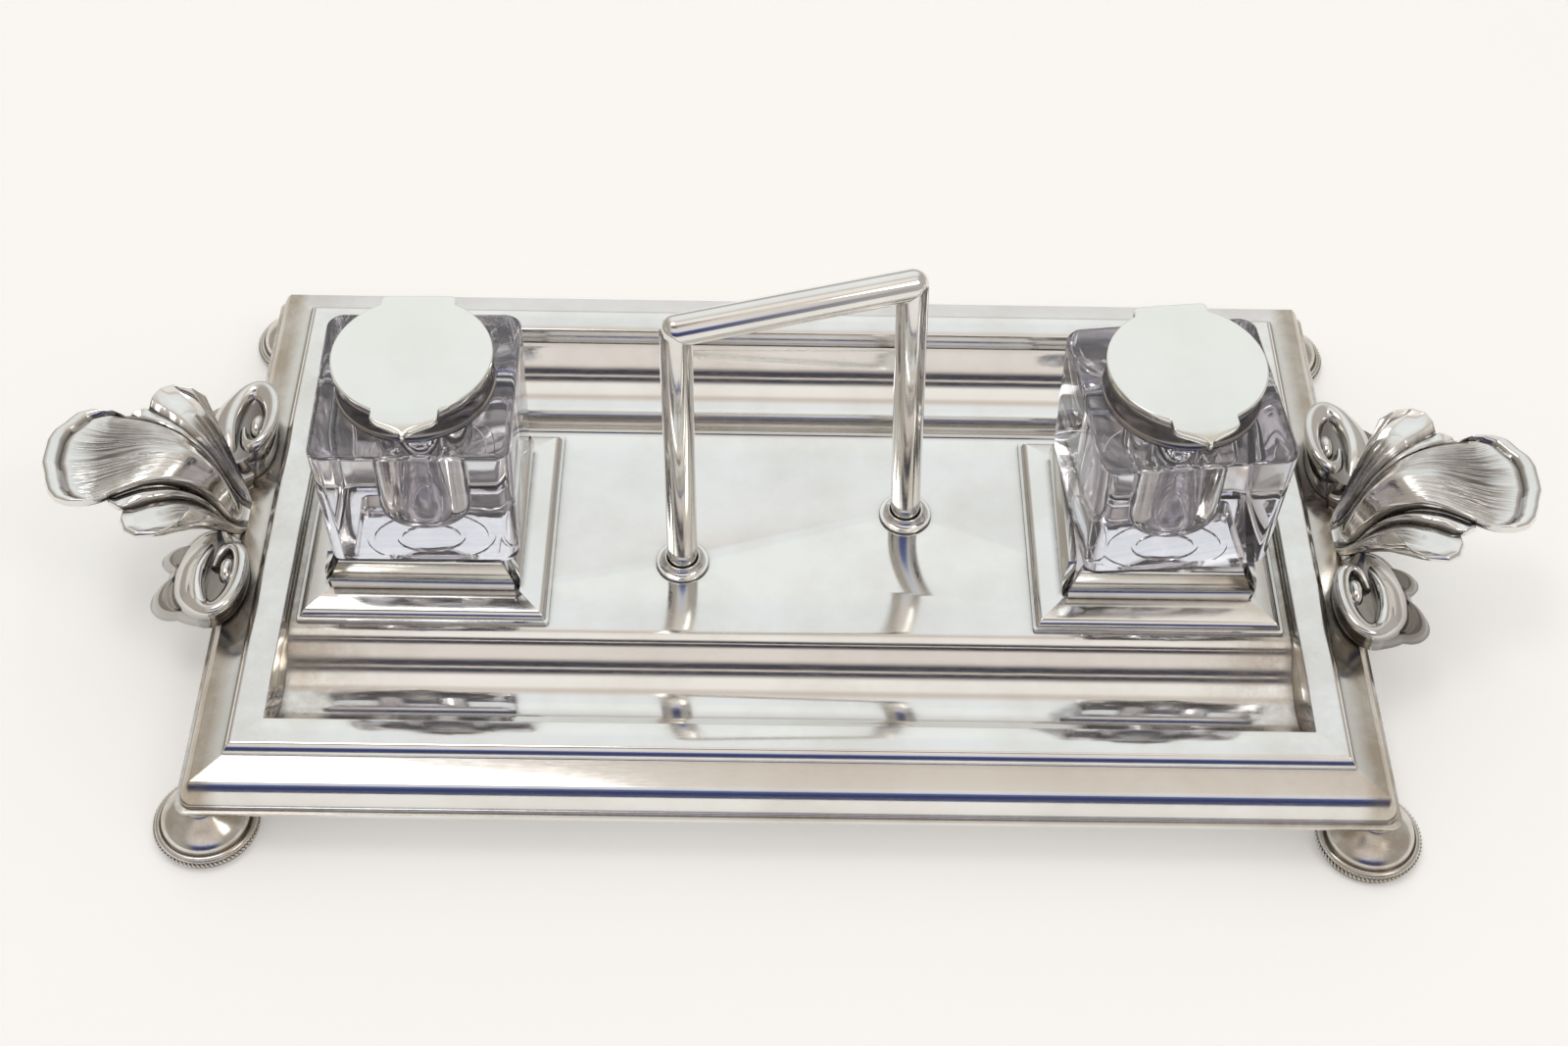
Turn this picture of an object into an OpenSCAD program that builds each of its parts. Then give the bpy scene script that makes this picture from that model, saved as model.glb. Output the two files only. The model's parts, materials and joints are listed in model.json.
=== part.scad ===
// Desk inkstand: a pressed tray with mitred border mouldings on four turned feet,
// two square glass bottles with hinged lids standing in low galleries, a carrying
// handle across the middle and a cast leaf and scroll handle at each end.
// Millimetres, +Z up, origin on the table under the middle of the tray.

/* [Tray] */
// Length over the flange
tray_l = 302.8; // [290:0.1:330]
// Width over the flange
tray_w = 178; // [172:0.1:200]
// Thickness of the pressed sheet
sheet_t = 1.2; // [0.9:0.1:1.4]
// Radius of the flange's corners
flange_r = 3; // [1:0.5:4]
// Height of the deck above the flange
deck_h = 3.5; // [2:0.1:5]
// Depth of the pen troughs below the deck
trough_depth = 7; // [5:0.5:9]
// Width of the rolled lip between the deck and a trough
lip_w = 5.5; // [4:0.5:8]
// Fall of the rolled lip
lip_drop = 2; // [1:0.1:3]
// Height of the pan's rim above the deck
pan_rim = 1.9; // [1:0.1:3]

/* [Border moulding] */
// Bare flange outside the moulding
border_reveal = 1; // [0.5:0.1:2]
// Height of the border's small outer fillet
border_fillet = 1; // [0.5:0.1:1.5]
// Width of the border's ovolo
ovolo_w = 3.6; // [3:0.1:5]
// Height of the border's ovolo
ovolo_h = 6.3; // [5.5:0.1:7]
// Width of the border's sloping band
slope_w = 7.1; // [6:0.1:9]
// Rise of the border's sloping band
slope_rise = 1.1; // [0.5:0.1:2]
// Width of the bead under the border's top band
bead_w = 1.9; // [1.8:0.1:3]
// Height of the bead under the border's top band
bead_h = 2.7; // [2:0.1:4]
// Width of the border's flat top band
band_w = 7.3; // [6:0.1:10]
// Thickness of the border's metal
border_t = 1.4; // [1:0.1:1.6]

/* [Feet] */
// Height of a foot
foot_h = 13; // [10:0.5:18]
// Radius of a foot's rim
foot_r = 13.6; // [12:0.1:15]
// Radius of a foot's neck
foot_neck_r = 4.3; // [3.5:0.1:4.8]
// Distance of a foot's axis from both edges of the flange
foot_inset = 5.4; // [5.2:0.1:6]
// Radius of a foot's screw
foot_screw_r = 1.25; // [1:0.05:1.4]

/* [Bottles] */
// Width of a bottle at its shoulder
bottle_w = 50; // [44:1:54]
// Height of a bottle's square body
bottle_h = 41.3; // [38:0.1:60]
// How much further out each side stands at the shoulder than at the base
bottle_taper = 0.8; // [0:0.1:1.5]
// Cut at a bottle's upright edges
bottle_edge = 3; // [2:0.1:5]
// Cut at a bottle's shoulder
shoulder_cut = 1.2; // [0.6:0.1:2]
// Depth of the locating boss under a bottle
boss_h = 4; // [2:0.5:6]
// Radius of the ink well
well_r = 12; // [10:0.5:13]
// Depth of the ink well below the shoulder
well_depth = 36; // [26:1:37]
// Radius of the glass neck inside the collar
neck_r = 16.5; // [15.5:0.1:17]
// Height of the glass neck
neck_h = 7.3; // [5.5:0.1:7.3]
// How far the left bottle stands right of its gallery's middle, and behind it
left_shift_x = 1; // [-0.5:0.1:1]
left_shift_y = 0; // [-0.5:0.1:1]
// Turn of the left bottle
left_turn = 1.1; // [-5:0.1:7]
// How far the right bottle stands right of its gallery's middle, and behind it
right_shift_x = 1; // [-0.5:0.1:1]
right_shift_y = 0.9; // [-0.5:0.1:1]
// Turn of the right bottle
right_turn = 6.6; // [-5:0.1:7]

/* [Collars and lids] */
// Radius of the lid
lid_r = 20; // [19.8:0.1:22]
// Thickness of the lid
lid_t = 1.7; // [1.4:0.1:2.4]
// Height of the collar
collar_h = 8.4; // [8.2:0.1:12]
// Width of the collar's waist outside the glass neck
collar_wall = 2.8; // [2.2:0.1:3]
// Width over the hinge's three knuckles
hinge_w = 18.4; // [14:0.1:22]
// Length of the lid's own knuckle
lid_knuckle = 9; // [6:0.1:10]
// Radius of the hinge pin
pin_r = 0.7; // [0.5:0.05:0.9]
// Width of the thumbpiece
thumb_w = 16.3; // [12:0.1:18]
// How far the thumbpiece reaches past the lid's edge
thumb_reach = 6.2; // [4:0.1:9]

/* [Galleries] */
// Width of the gallery's moulding, outside the rails
gallery_moulding = 7.85; // [6:0.05:10]
// Height of the gallery's moulding
gallery_h = 4.6; // [3.5:0.1:7]
// Height of the rails above the moulding
rail_h = 10.5; // [8:0.5:16]
// Thickness of a rail at its top
rail_t = 2.1; // [1.6:0.1:3]
// How much further out a rail stands at its foot than at its top
rail_lean = 0.85; // [0.3:0.05:1.5]
// Distance of the gallery from the end of the tray's recess
gallery_end_gap = 1.7; // [0.5:0.1:12]

/* [Carrying handle] */
// Diameter of the handle's rod
rod_d = 8; // [6:0.5:10]
// Distance between the feet of the two posts
handle_span = 62.5; // [50:0.5:80]
// Height of the handle above the deck
handle_h = 91.4; // [70:0.1:120]
// Turn of the handle against the tray's length
handle_turn = 16.4; // [0:0.1:25]
// Inward lean of the right post
post_lean = 2.2; // [0:0.1:3]
// How far the handle's middle stands right of the tray's middle
handle_x = 1; // [-3:0.1:3]
// How far the handle's middle stands behind the tray's middle
handle_y = -2; // [-4:0.1:4]
// Diameter of the rose at the foot of a post
rose_d = 14; // [13:0.5:20]
// Height of the rose
rose_h = 2.6; // [2:0.1:5]

/* [End handles] */
// Reach of the leaf beyond the flange
leaf_reach = 44.8; // [40:0.1:60]
// Height of the leaf's crest above the flange
leaf_crest = 34.5; // [26:0.1:45]
// Half width of the leaf over its broad side lobes
leaf_half_w = 26; // [20:0.5:30]
// Thickness of the leaf along its middle
leaf_t = 2.6; // [1.8:0.1:3.5]
// How far the right end's castings stand behind the tray's middle
end_shift = -2; // [-3:0.1:3]
// Height of a scroll
scroll_h = 10.6; // [7:0.1:13]
// Long radius of a scroll
scroll_r = 14.8; // [12:0.1:15.5]
// Distance of a scroll's middle from the leaf
scroll_y = 26.5; // [26.5:0.5:34]

/* [Hidden] */

// Colours
silver = [0.78, 0.77, 0.74];
dark_silver = [0.52, 0.50, 0.47];
glass = [0.80, 0.86, 0.85, 0.5];
steel = [0.45, 0.45, 0.47];

// Clearances and small shared sizes
eps = 0.01;
fit = 0.05;
seat_gap = 0.1;
turn_gap = 0.3;
knuckle_gap = 0.15;
arc_n = 8;
curve_n = 12;
round_fn = 96;

// Heights
flange_z = foot_h + sheet_t;
deck_z = flange_z + deck_h;
pan_rim_z = deck_z + pan_rim;
gallery_top_z = deck_z + gallery_h;
bottle_z = gallery_top_z + rail_h;
shoulder_z = bottle_z + bottle_h;

// Plan of the tray
border_w = border_reveal + ovolo_w + slope_w + bead_w + band_w;
recess_l = tray_l - 2 * border_w;
recess_w = tray_w - 2 * border_w;

// Plan of a gallery, worked out from the bottle that stands on its rails
base_half = bottle_w / 2 - bottle_taper;
rail_top_out = base_half - seat_gap;
rail_in = rail_top_out - rail_t;
rail_foot_out = rail_top_out + rail_lean;
gallery_half = rail_foot_out + gallery_moulding;
gallery_x = recess_l / 2 - gallery_end_gap - gallery_half;
boss_clear = 3.5;
boss_half = rail_in - boss_clear;
deck_half = gallery_half + 0.2;

// General shapes

// A full rounding in n steps, from [x0, y0] to [x1, y1], upright at its start
function quarter(x0, y0, x1, y1, n) = [
    for (i = [1:n]) let (a = 90 * i / n)
        [x0 + (x1 - x0) * (1 - cos(a)), y0 + (y1 - y0) * sin(a)]
];
function unit2(v) = v / norm(v);
function right_of(v) = [v[1], -v[0]];
// The path moved sideways by d, to the right of its direction
function beside(p, d) = [
    for (i = [0:len(p) - 1]) let (
        a = right_of(unit2(i == 0 ? p[1] - p[0] : p[i] - p[i - 1])),
        b = right_of(unit2(i == len(p) - 1 ? p[i] - p[i - 1] : p[i + 1] - p[i]))
    ) p[i] + (a + b) * d / (1 + a * b)
];
function back_to_front(p) = [for (i = [len(p) - 1:-1:0]) p[i]];
function mirrored(p) = [for (q = p) [-q[0], q[1]]];

// A bar along X whose section is given as points in Y and Z
module along_x(length, section) {
    translate([-length / 2, 0, 0])
        rotate([90, 0, 90])
            linear_extrude(length) polygon(section);
}

module rounded_plate(l, w, t, r) {
    linear_extrude(t) union() {
        square([l, w - 2 * r], center = true);
        square([l - 2 * r, w], center = true);
        for (x = [-1, 1], y = [-1, 1])
            translate([x * (l / 2 - r), y * (w / 2 - r)]) circle(r, $fn = round_fn);
    }
}

module bored_hex(across_r, h, bore_r) {
    difference() {
        cylinder(r = across_r, h = h, $fn = 6);
        translate([0, 0, -1]) cylinder(r = bore_r, h = h + 2, $fn = round_fn);
    }
}

// Tray pan

trough_in = deck_half + lip_w;
trough_out = recess_w / 2;
trough_floor = deck_z - trough_depth;
trough_rise_in = trough_depth - lip_drop;
trough_rise_out = trough_depth + pan_rim;
trough_share = sqrt(trough_rise_out / trough_rise_in);
trough_mid = (trough_out + trough_share * trough_in) / (1 + trough_share);
trough_bend = trough_rise_in / pow(trough_mid - trough_in, 2);

function pan_z(y) =
    y <= deck_half ? deck_z :
    y <= trough_in ? deck_z - lip_drop * pow((y - deck_half) / lip_w, 2) :
    trough_floor + trough_bend * pow(y - trough_mid, 2);

lip_n = 5;
pan_half = [
    for (y = concat(
        [deck_half],
        [for (i = [1:lip_n]) deck_half + lip_w * i / lip_n],
        [for (i = [1:2 * curve_n]) trough_in + (trough_out - trough_in) * i / (2 * curve_n)]
    )) [y, pan_z(y)]
];
pan_top = concat(back_to_front(mirrored(pan_half)), pan_half);
function lowered(p, d) = [for (q = p) [q[0], q[1] - d]];

foot_x = tray_l / 2 - foot_inset;
foot_y = tray_w / 2 - foot_inset;
screw_hole_r = foot_screw_r + seat_gap;
stud_r = rod_d * 0.3;
stud_hole_r = stud_r + seat_gap;

module at_feet() {
    for (x = [-1, 1], y = [-1, 1]) translate([x * foot_x, y * foot_y, 0]) children();
}

// Place of a post's foot on the deck: side is -1 for the left post and 1 for the right
function post_u(side) = side * handle_span / 2;
module at_handle() {
    translate([handle_x, handle_y, 0]) rotate([0, 0, handle_turn]) children();
}

module tray_pan() {
    wall_out_l = recess_l + 2 * sheet_t;
    wall_out_w = recess_w + 2 * sheet_t;
    pan_under = lowered(pan_top, sheet_t);
    end_under = [for (q = pan_under) [q[0], min(q[1], foot_h)]];
    end_half = trough_out + sheet_t;
    end_plate = concat(
        [[-end_half, foot_h], [-end_half, pan_rim_z], [end_half, pan_rim_z], [end_half, foot_h]],
        back_to_front(end_under)
    );
    color(silver) difference() {
        union() {
            along_x(recess_l + sheet_t, concat(pan_top, back_to_front(pan_under)));
            for (x = [-1, 1])
                translate([x * (recess_l + sheet_t) / 2, 0, 0]) along_x(sheet_t, end_plate);
            for (y = [-1, 1])
                translate([-wall_out_l / 2, y * (recess_w + sheet_t) / 2 - sheet_t / 2, foot_h])
                    cube([wall_out_l, sheet_t, pan_rim_z - foot_h]);
            difference() {
                translate([0, 0, foot_h]) rounded_plate(tray_l, tray_w, sheet_t, flange_r);
                translate([-recess_l / 2, -recess_w / 2, foot_h - 1])
                    cube([recess_l, recess_w, sheet_t + 2]);
            }
        }
        at_feet() translate([0, 0, foot_h - 1])
            cylinder(r = screw_hole_r, h = sheet_t + 2, $fn = round_fn);
        at_handle() for (side = [-1, 1])
            translate([post_u(side), 0, deck_z - sheet_t - 1])
                cylinder(r = stud_hole_r, h = sheet_t + 2, $fn = round_fn);
    }
}

// Border mouldings

slope_in = border_reveal + ovolo_w;
slope_low = border_fillet + ovolo_h;
slope_high = slope_low + slope_rise;
band_h = slope_high + bead_h;
border_path = concat(
    [[border_reveal, 0], [border_reveal, border_fillet]],
    quarter(border_reveal, border_fillet, slope_in, slope_low, arc_n),
    [[slope_in + slope_w, slope_high]],
    quarter(slope_in + slope_w, slope_high, slope_in + slope_w + bead_w, band_h, arc_n),
    [[border_w, band_h], [border_w, pan_rim_z - flange_z]]
);
border_section = concat(border_path, back_to_front(beside(border_path, border_t)));

// One mitred length; edge is how far the flange's edge lies from the tray's middle
module border_length(length, edge) {
    color(silver) translate([0, -edge, flange_z]) intersection() {
        along_x(length, border_section);
        translate([0, 0, -1]) linear_extrude(band_h + 2) polygon([
            [-length / 2, 0], [length / 2, 0],
            [length / 2 - border_w - 1, border_w + 1], [-length / 2 + border_w + 1, border_w + 1]
        ]);
    }
}
module border_front() { border_length(tray_l, tray_w / 2); }
module border_back() { rotate([0, 0, 180]) border_length(tray_l, tray_w / 2); }
module border_left() { rotate([0, 0, -90]) border_length(tray_w, tray_l / 2); }
module border_right() { rotate([0, 0, 90]) border_length(tray_w, tray_l / 2); }

// Galleries

gallery_fillet = 1;
gallery_step = 0.9;
gallery_ovolo_w = 3.3;
gallery_slope = 0.6;

module gallery(side) {
    outer = concat(
        [[-gallery_half, 0], [-gallery_half, gallery_fillet], [gallery_step - gallery_half, gallery_fillet]],
        quarter(gallery_step - gallery_half, gallery_fillet,
            gallery_step + gallery_ovolo_w - gallery_half, gallery_h - gallery_slope, arc_n),
        [[-rail_foot_out, gallery_h]]
    );
    mound = concat(outer, back_to_front(mirrored(outer)));
    color(silver) translate([side * gallery_x, 0, deck_z]) difference() {
        intersection() {
            along_x(2 * gallery_half + 2, mound);
            rotate([0, 0, 90]) along_x(2 * gallery_half + 2, mound);
        }
        translate([-rail_in, -rail_in, -1]) cube([2 * rail_in, 2 * rail_in, gallery_h + 2]);
    }
}
module gallery_left() { gallery(-1); }
module gallery_right() { gallery(1); }

rail_bulge = 0.7;
corner_gap = 1.45;
rail_end_lean = 2.6;
rail_back = 4;

// Four upright rails with a swelling outer face and ends that lean towards the middle
module gallery_rails(side) {
    face = [for (i = [0:curve_n]) let (u = i / curve_n)
        [-rail_foot_out + rail_lean * u - rail_bulge * sin(180 * u), rail_h * u]];
    end_half = rail_foot_out - corner_gap;
    end = [for (i = [0:curve_n]) let (u = i / curve_n)
        [end_half + 1 - rail_end_lean * (1 - cos(90 * u)) - u, rail_h * u]];
    color(silver) translate([side * gallery_x, 0, gallery_top_z])
        for (a = [0:90:270]) rotate([0, 0, a]) intersection() {
            along_x(2 * gallery_half, concat([[-rail_in, 0]], face, [[-rail_in, rail_h]]));
            translate([0, gallery_half, 0]) rotate([90, 0, 0])
                linear_extrude(2 * gallery_half) polygon(concat(end, back_to_front(mirrored(end))));
            translate([0, 0, -1]) linear_extrude(rail_h + 2) polygon([
                [rail_in - rail_back - 2 * corner_gap, corner_gap - rail_in + rail_back],
                [gallery_half - corner_gap, -gallery_half], [corner_gap - gallery_half, -gallery_half],
                [-rail_in + rail_back + 2 * corner_gap, corner_gap - rail_in + rail_back]
            ]);
        }
}
module gallery_rails_left() { gallery_rails(-1); }
module gallery_rails_right() { gallery_rails(1); }

// Bottles

module at_bottle(side) {
    shift = side < 0 ? [left_shift_x, left_shift_y] : [right_shift_x, right_shift_y];
    translate([side * gallery_x + shift[0], shift[1], shoulder_z])
        rotate([0, 0, side < 0 ? left_turn : right_turn]) children();
}

function cut_square(half, cut) = [
    [half - cut, -half], [half, cut - half], [half, half - cut], [half - cut, half],
    [cut - half, half], [-half, half - cut], [-half, cut - half], [cut - half, -half]
];
// Upright outline of the glass: half widths at the foot and the shoulder
function glass_outline(foot, top) = [
    [0.8 - foot, -bottle_h], [foot - 0.8, -bottle_h], [foot, 0.8 - bottle_h],
    [top, -shoulder_cut], [top - shoulder_cut, 0], [shoulder_cut - top, 0],
    [-top, -shoulder_cut], [-foot, 0.8 - bottle_h]
];
well_path = concat(
    [for (i = [0:2 * arc_n]) let (a = 90 * i / (2 * arc_n))
        [well_r * sin(a), -well_depth + well_r * (1 - cos(a))]],
    [[well_r, neck_h + 1], [0, neck_h + 1]]
);
mark_r = 9;

module bottle(side) {
    diag_top = (bottle_w - bottle_edge) / sqrt(2);
    diag_foot = (2 * base_half - bottle_edge) / sqrt(2);
    color(glass) at_bottle(side) difference() {
        union() {
            intersection() {
                along_x(2 * bottle_w, glass_outline(base_half, bottle_w / 2));
                rotate([0, 0, 90]) along_x(2 * bottle_w, glass_outline(base_half, bottle_w / 2));
                rotate([0, 0, 45]) along_x(3 * bottle_w, glass_outline(diag_foot, diag_top));
                rotate([0, 0, 135]) along_x(3 * bottle_w, glass_outline(diag_foot, diag_top));
            }
            translate([0, 0, -bottle_h - boss_h]) linear_extrude(boss_h + 1)
                polygon(cut_square(boss_half, bottle_edge));
            translate([0, 0, -1]) cylinder(r = neck_r, h = neck_h + 1, $fn = round_fn);
        }
        rotate_extrude($fn = round_fn) polygon(well_path);
        translate([0, 0, -bottle_h - boss_h - 1]) difference() {
            cylinder(r = mark_r, h = 1.5, $fn = round_fn);
            translate([0, 0, -1]) cylinder(r = mark_r - 1.5, h = 4, $fn = round_fn);
        }
    }
}
module bottle_left() { bottle(-1); }
module bottle_right() { bottle(1); }

// Collars, lids and their hinges

knuckle_r = 1.6;
lid_top = collar_h + lid_t;
knuckle_proud = 0.3;
hinge_z = lid_top - knuckle_r + knuckle_proud;
waist_r = neck_r + collar_wall;
collar_r = waist_r + 0.5;
mouth_r = well_r + 2;
hinge_y = collar_r - 0.7;
pin_hole_r = pin_r + fit;

// A rod about the hinge's axis, from x0 to x1
module hinge_rod(x0, x1, r) {
    translate([x0, hinge_y, hinge_z]) rotate([0, 90, 0]) cylinder(r = r, h = x1 - x0, $fn = round_fn);
}

module collar(side) {
    inner = neck_r + seat_gap;
    under_lip = neck_h + seat_gap;
    outline = [
        [inner, 0], [collar_r + 0.2, 0], [collar_r + 0.2, 0.9], [collar_r - 0.1, 1.3], [waist_r, 1.7],
        [waist_r, collar_h - 2.6], [waist_r + 0.3, collar_h - 2.2], [collar_r, collar_h - 1.7],
        [collar_r, collar_h - 0.3], [collar_r - 0.3, collar_h], [mouth_r, collar_h],
        [mouth_r, under_lip], [inner, under_lip]
    ];
    slot_half = lid_knuckle / 2 + knuckle_gap;
    ear = (hinge_w - lid_knuckle) / 2 - knuckle_gap;
    color(dark_silver) at_bottle(side) difference() {
        union() {
            rotate_extrude($fn = round_fn) polygon(outline);
            for (x = [-1, 1]) {
                start = x < 0 ? -hinge_w / 2 : slot_half;
                hinge_rod(start, start + ear, knuckle_r);
                translate([start, neck_r + 1, collar_h - 1.5])
                    cube([ear, hinge_y - neck_r - 1, hinge_z - collar_h + 1.5]);
            }
        }
        hinge_rod(-slot_half, slot_half, knuckle_r + turn_gap);
        hinge_rod(-hinge_w, hinge_w, pin_hole_r);
        translate([0, 0, -1]) cylinder(r = inner, h = under_lip + 1, $fn = round_fn);
    }
}
module collar_left() { collar(-1); }
module collar_right() { collar(1); }

module hinge_pin(side) {
    color(steel) at_bottle(side) hinge_rod(-hinge_w / 2, hinge_w / 2, pin_r);
}
module hinge_pin_left() { hinge_pin(-1); }
module hinge_pin_right() { hinge_pin(1); }

plug_depth = 2.4;
plug_wall = 1.2;
plug_gap = 0.6;

module lid(side) {
    edge = 0.4;
    plug_r = well_r - plug_gap;
    plate = [
        [0, collar_h], [lid_r - edge, collar_h], [lid_r, collar_h + edge],
        [lid_r, lid_top - edge], [lid_r - edge, lid_top], [0, lid_top]
    ];
    plug = [
        [plug_r - plug_wall, collar_h - plug_depth], [plug_r, collar_h - plug_depth],
        [plug_r, collar_h + edge], [plug_r - plug_wall, collar_h + edge]
    ];
    thumb_root = sqrt(lid_r * lid_r - thumb_w * thumb_w / 4);
    shoulder = lid_r + 1;
    ogee = [for (i = [0:2 * arc_n]) let (u = i / (2 * arc_n))
        [0.4 + (thumb_w / 2 - 0.4) * (0.5 + 0.5 * cos(180 * u)), -shoulder - (thumb_reach - 1) * u]];
    thumb = concat([[thumb_w / 2, 2 - thumb_root]], ogee, back_to_front(mirrored(ogee)),
        [[-thumb_w / 2, 2 - thumb_root]]);
    notch_in = lid_knuckle / 2;
    notch_w = hinge_w / 2 + knuckle_gap - notch_in;
    color(silver) at_bottle(side) difference() {
        union() {
            difference() {
                union() {
                    rotate_extrude($fn = round_fn) polygon(plate);
                    rotate_extrude($fn = round_fn) polygon(plug);
                    translate([0, 0, collar_h + 0.2]) linear_extrude(lid_t - 0.4) polygon(thumb);
                }
                for (x = [-1, 1])
                    translate([x > 0 ? notch_in : -notch_in - notch_w,
                        hinge_y - knuckle_r - turn_gap, collar_h - 1])
                        cube([notch_w, lid_r, lid_t + 2]);
                translate([-notch_in - 1, hinge_y, collar_h - 1]) cube([lid_knuckle + 2, lid_r, lid_t + 2]);
            }
            hinge_rod(-notch_in, notch_in, knuckle_r);
        }
        hinge_rod(-hinge_w, hinge_w, pin_hole_r);
    }
}
module lid_left() { lid(-1); }
module lid_right() { lid(1); }

// Carrying handle, in its own plane: u along the span, Z up

rod_r = rod_d / 2;
bar_z = deck_z + handle_h - rod_r;
post_rise = bar_z - deck_z;
right_top_u = post_u(1) - post_rise * tan(post_lean);

function post_angle(side) = side < 0 ? 0 : -post_lean;
function corner_u(side) = side < 0 ? post_u(-1) : right_top_u;

// Everything on the posts' side of the mitre at a corner
module mitre_side(side) {
    size = 2 * handle_span;
    turn = side < 0 ? -45 : (90 - post_lean) / 2;
    translate([corner_u(side), 0, bar_z]) rotate([0, turn, 0])
        translate([side < 0 ? -size : 0, -size, -size]) cube([size, 2 * size, 2 * size]);
}

// A rod from the middle of a corner, with a round end there, running down
module round_ended_rod(length) {
    outline = concat(
        [[0, -length], [rod_r, -length]],
        [for (i = [0:arc_n]) let (a = 90 * i / arc_n) [rod_r * cos(a), rod_r * sin(a)]]
    );
    rotate_extrude($fn = round_fn) polygon(outline);
}

module handle_post(side) {
    stud = sheet_t + nut_h + 1;
    color(silver) at_handle() union() {
        difference() {
            intersection() {
                translate([corner_u(side), 0, bar_z]) rotate([0, post_angle(side), 0])
                    round_ended_rod(post_rise + rod_d);
                mitre_side(side);
            }
            translate([post_u(side) - rod_d, -rod_d, deck_z - 2 * rod_d])
                cube([2 * rod_d, 2 * rod_d, 2 * rod_d]);
        }
        translate([post_u(side), 0, deck_z - stud]) cylinder(r = stud_r, h = stud + 1, $fn = round_fn);
    }
}
module handle_post_left() { handle_post(-1); }
module handle_post_right() { handle_post(1); }

module handle_bar() {
    middle = (corner_u(-1) + corner_u(1)) / 2;
    color(silver) at_handle() difference() {
        union() for (side = [-1, 1]) translate([corner_u(side), 0, bar_z])
            rotate([0, side * 90, 0]) round_ended_rod(side * (corner_u(side) - middle) + eps);
        for (side = [-1, 1]) mitre_side(side);
    }
}

module handle_rose(side) {
    r = rose_d / 2;
    outline = concat(
        [[0, 0], [r, 0], [r, 0.7]],
        [for (i = [1:arc_n]) let (a = 90 * i / arc_n)
            [r - (r - rod_r - 0.8) * sin(a), 0.7 + (rose_h - 0.7) * (1 - cos(a))]],
        [[0, rose_h]]
    );
    color(silver) at_handle() translate([post_u(side), 0, deck_z]) difference() {
        rotate_extrude($fn = round_fn) polygon(outline);
        rotate([0, post_angle(side), 0]) translate([0, 0, -2])
            cylinder(r = rod_r + seat_gap, h = rose_h + 4, $fn = round_fn);
    }
}
module handle_rose_left() { handle_rose(-1); }
module handle_rose_right() { handle_rose(1); }

nut_h = 3;
nut_r = stud_r + 2;
module handle_nuts() {
    color(steel) at_handle() for (side = [-1, 1])
        translate([post_u(side), 0, deck_z - sheet_t - nut_h]) bored_hex(nut_r, nut_h, stud_r + fit);
}

// Feet

rim_t = 1.8;
foot_recess = 1.8;
foot_wall_r = foot_r - 2.8;
ring_r = foot_r * 0.82;

module foot() {
    neck_z = foot_h - 2.2;
    rim_top = 3.1;
    flare = [for (i = [0:curve_n]) let (u = i / curve_n)
        [foot_neck_r + (ring_r - foot_neck_r) * (0.5 - 0.5 * cos(180 * u)),
         neck_z - (neck_z - rim_top - 1) * pow(u, 1.3)]];
    outline = concat(
        [[screw_hole_r, foot_h], [foot_neck_r + 0.7, foot_h], [foot_neck_r + 0.7, foot_h - 0.8],
         [foot_neck_r, foot_h - 1.3]],
        flare,
        [[ring_r + 0.1, rim_top + 0.4], [ring_r + 0.4, rim_top + 0.4], [ring_r + 0.5, rim_top + 0.8],
         [foot_r - 0.4, rim_top + 0.2], [foot_r, rim_top - 0.2], [foot_r, rim_top - rim_t + 0.2],
         [foot_r - 0.3, rim_top - rim_t], [foot_r - 0.9, 0], [foot_wall_r, 0],
         [foot_wall_r, foot_recess], [screw_hole_r, foot_recess]]
    );
    color(silver) rotate_extrude($fn = round_fn) polygon(outline);
}
module foot_front_left() { translate([-foot_x, -foot_y, 0]) foot(); }
module foot_front_right() { translate([foot_x, -foot_y, 0]) foot(); }
module foot_back_left() { translate([-foot_x, foot_y, 0]) foot(); }
module foot_back_right() { translate([foot_x, foot_y, 0]) foot(); }

foot_nut_h = 1.6;
screw_head_h = 1.4;
module foot_screws() {
    color(steel) at_feet() union() {
        translate([0, 0, foot_recess - screw_head_h])
            cylinder(r = 2 * foot_screw_r, h = screw_head_h, $fn = round_fn);
        translate([0, 0, foot_recess - 0.5])
            cylinder(r = foot_screw_r, h = flange_z + foot_nut_h - foot_recess + 0.5, $fn = round_fn);
    }
}
module foot_nuts() {
    color(steel) at_feet() translate([0, 0, flange_z])
        bored_hex(foot_screw_r + 0.95, foot_nut_h, foot_screw_r + fit);
}

// End handles. Their frame has its origin at the outer, lower end of the border's slope,
// x outwards and z up

slope_angle = atan(slope_rise / slope_w);
module at_end(side) {
    mirror([side < 0 ? 1 : 0, 0, 0])
        translate([tray_l / 2 - slope_in, 0, flange_z + slope_low]) children();
}
// Height of the slope at x
function slope_z(x) = -x * slope_rise / slope_w;

// A closed skin over rings of points, an even number in each, with a strip across each end
function skin_faces(rows, cols) = let (last = (rows - 1) * cols) concat(
    [for (i = [0:rows - 2], j = [0:cols - 1]) let (k = (j + 1) % cols)
        [i * cols + j, i * cols + k, (i + 1) * cols + j]],
    [for (i = [0:rows - 2], j = [0:cols - 1]) let (k = (j + 1) % cols)
        [i * cols + k, (i + 1) * cols + k, (i + 1) * cols + j]],
    [for (j = [0:cols / 2 - 2]) [j + 1, j, cols - 1 - j]],
    [for (j = [0:cols / 2 - 2]) [j + 1, cols - 1 - j, cols - 2 - j]],
    [for (j = [0:cols / 2 - 2]) [last + j, last + j + 1, last + cols - 1 - j]],
    [for (j = [0:cols / 2 - 2]) [last + j + 1, last + cols - 2 - j, last + cols - 1 - j]]
);

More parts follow.
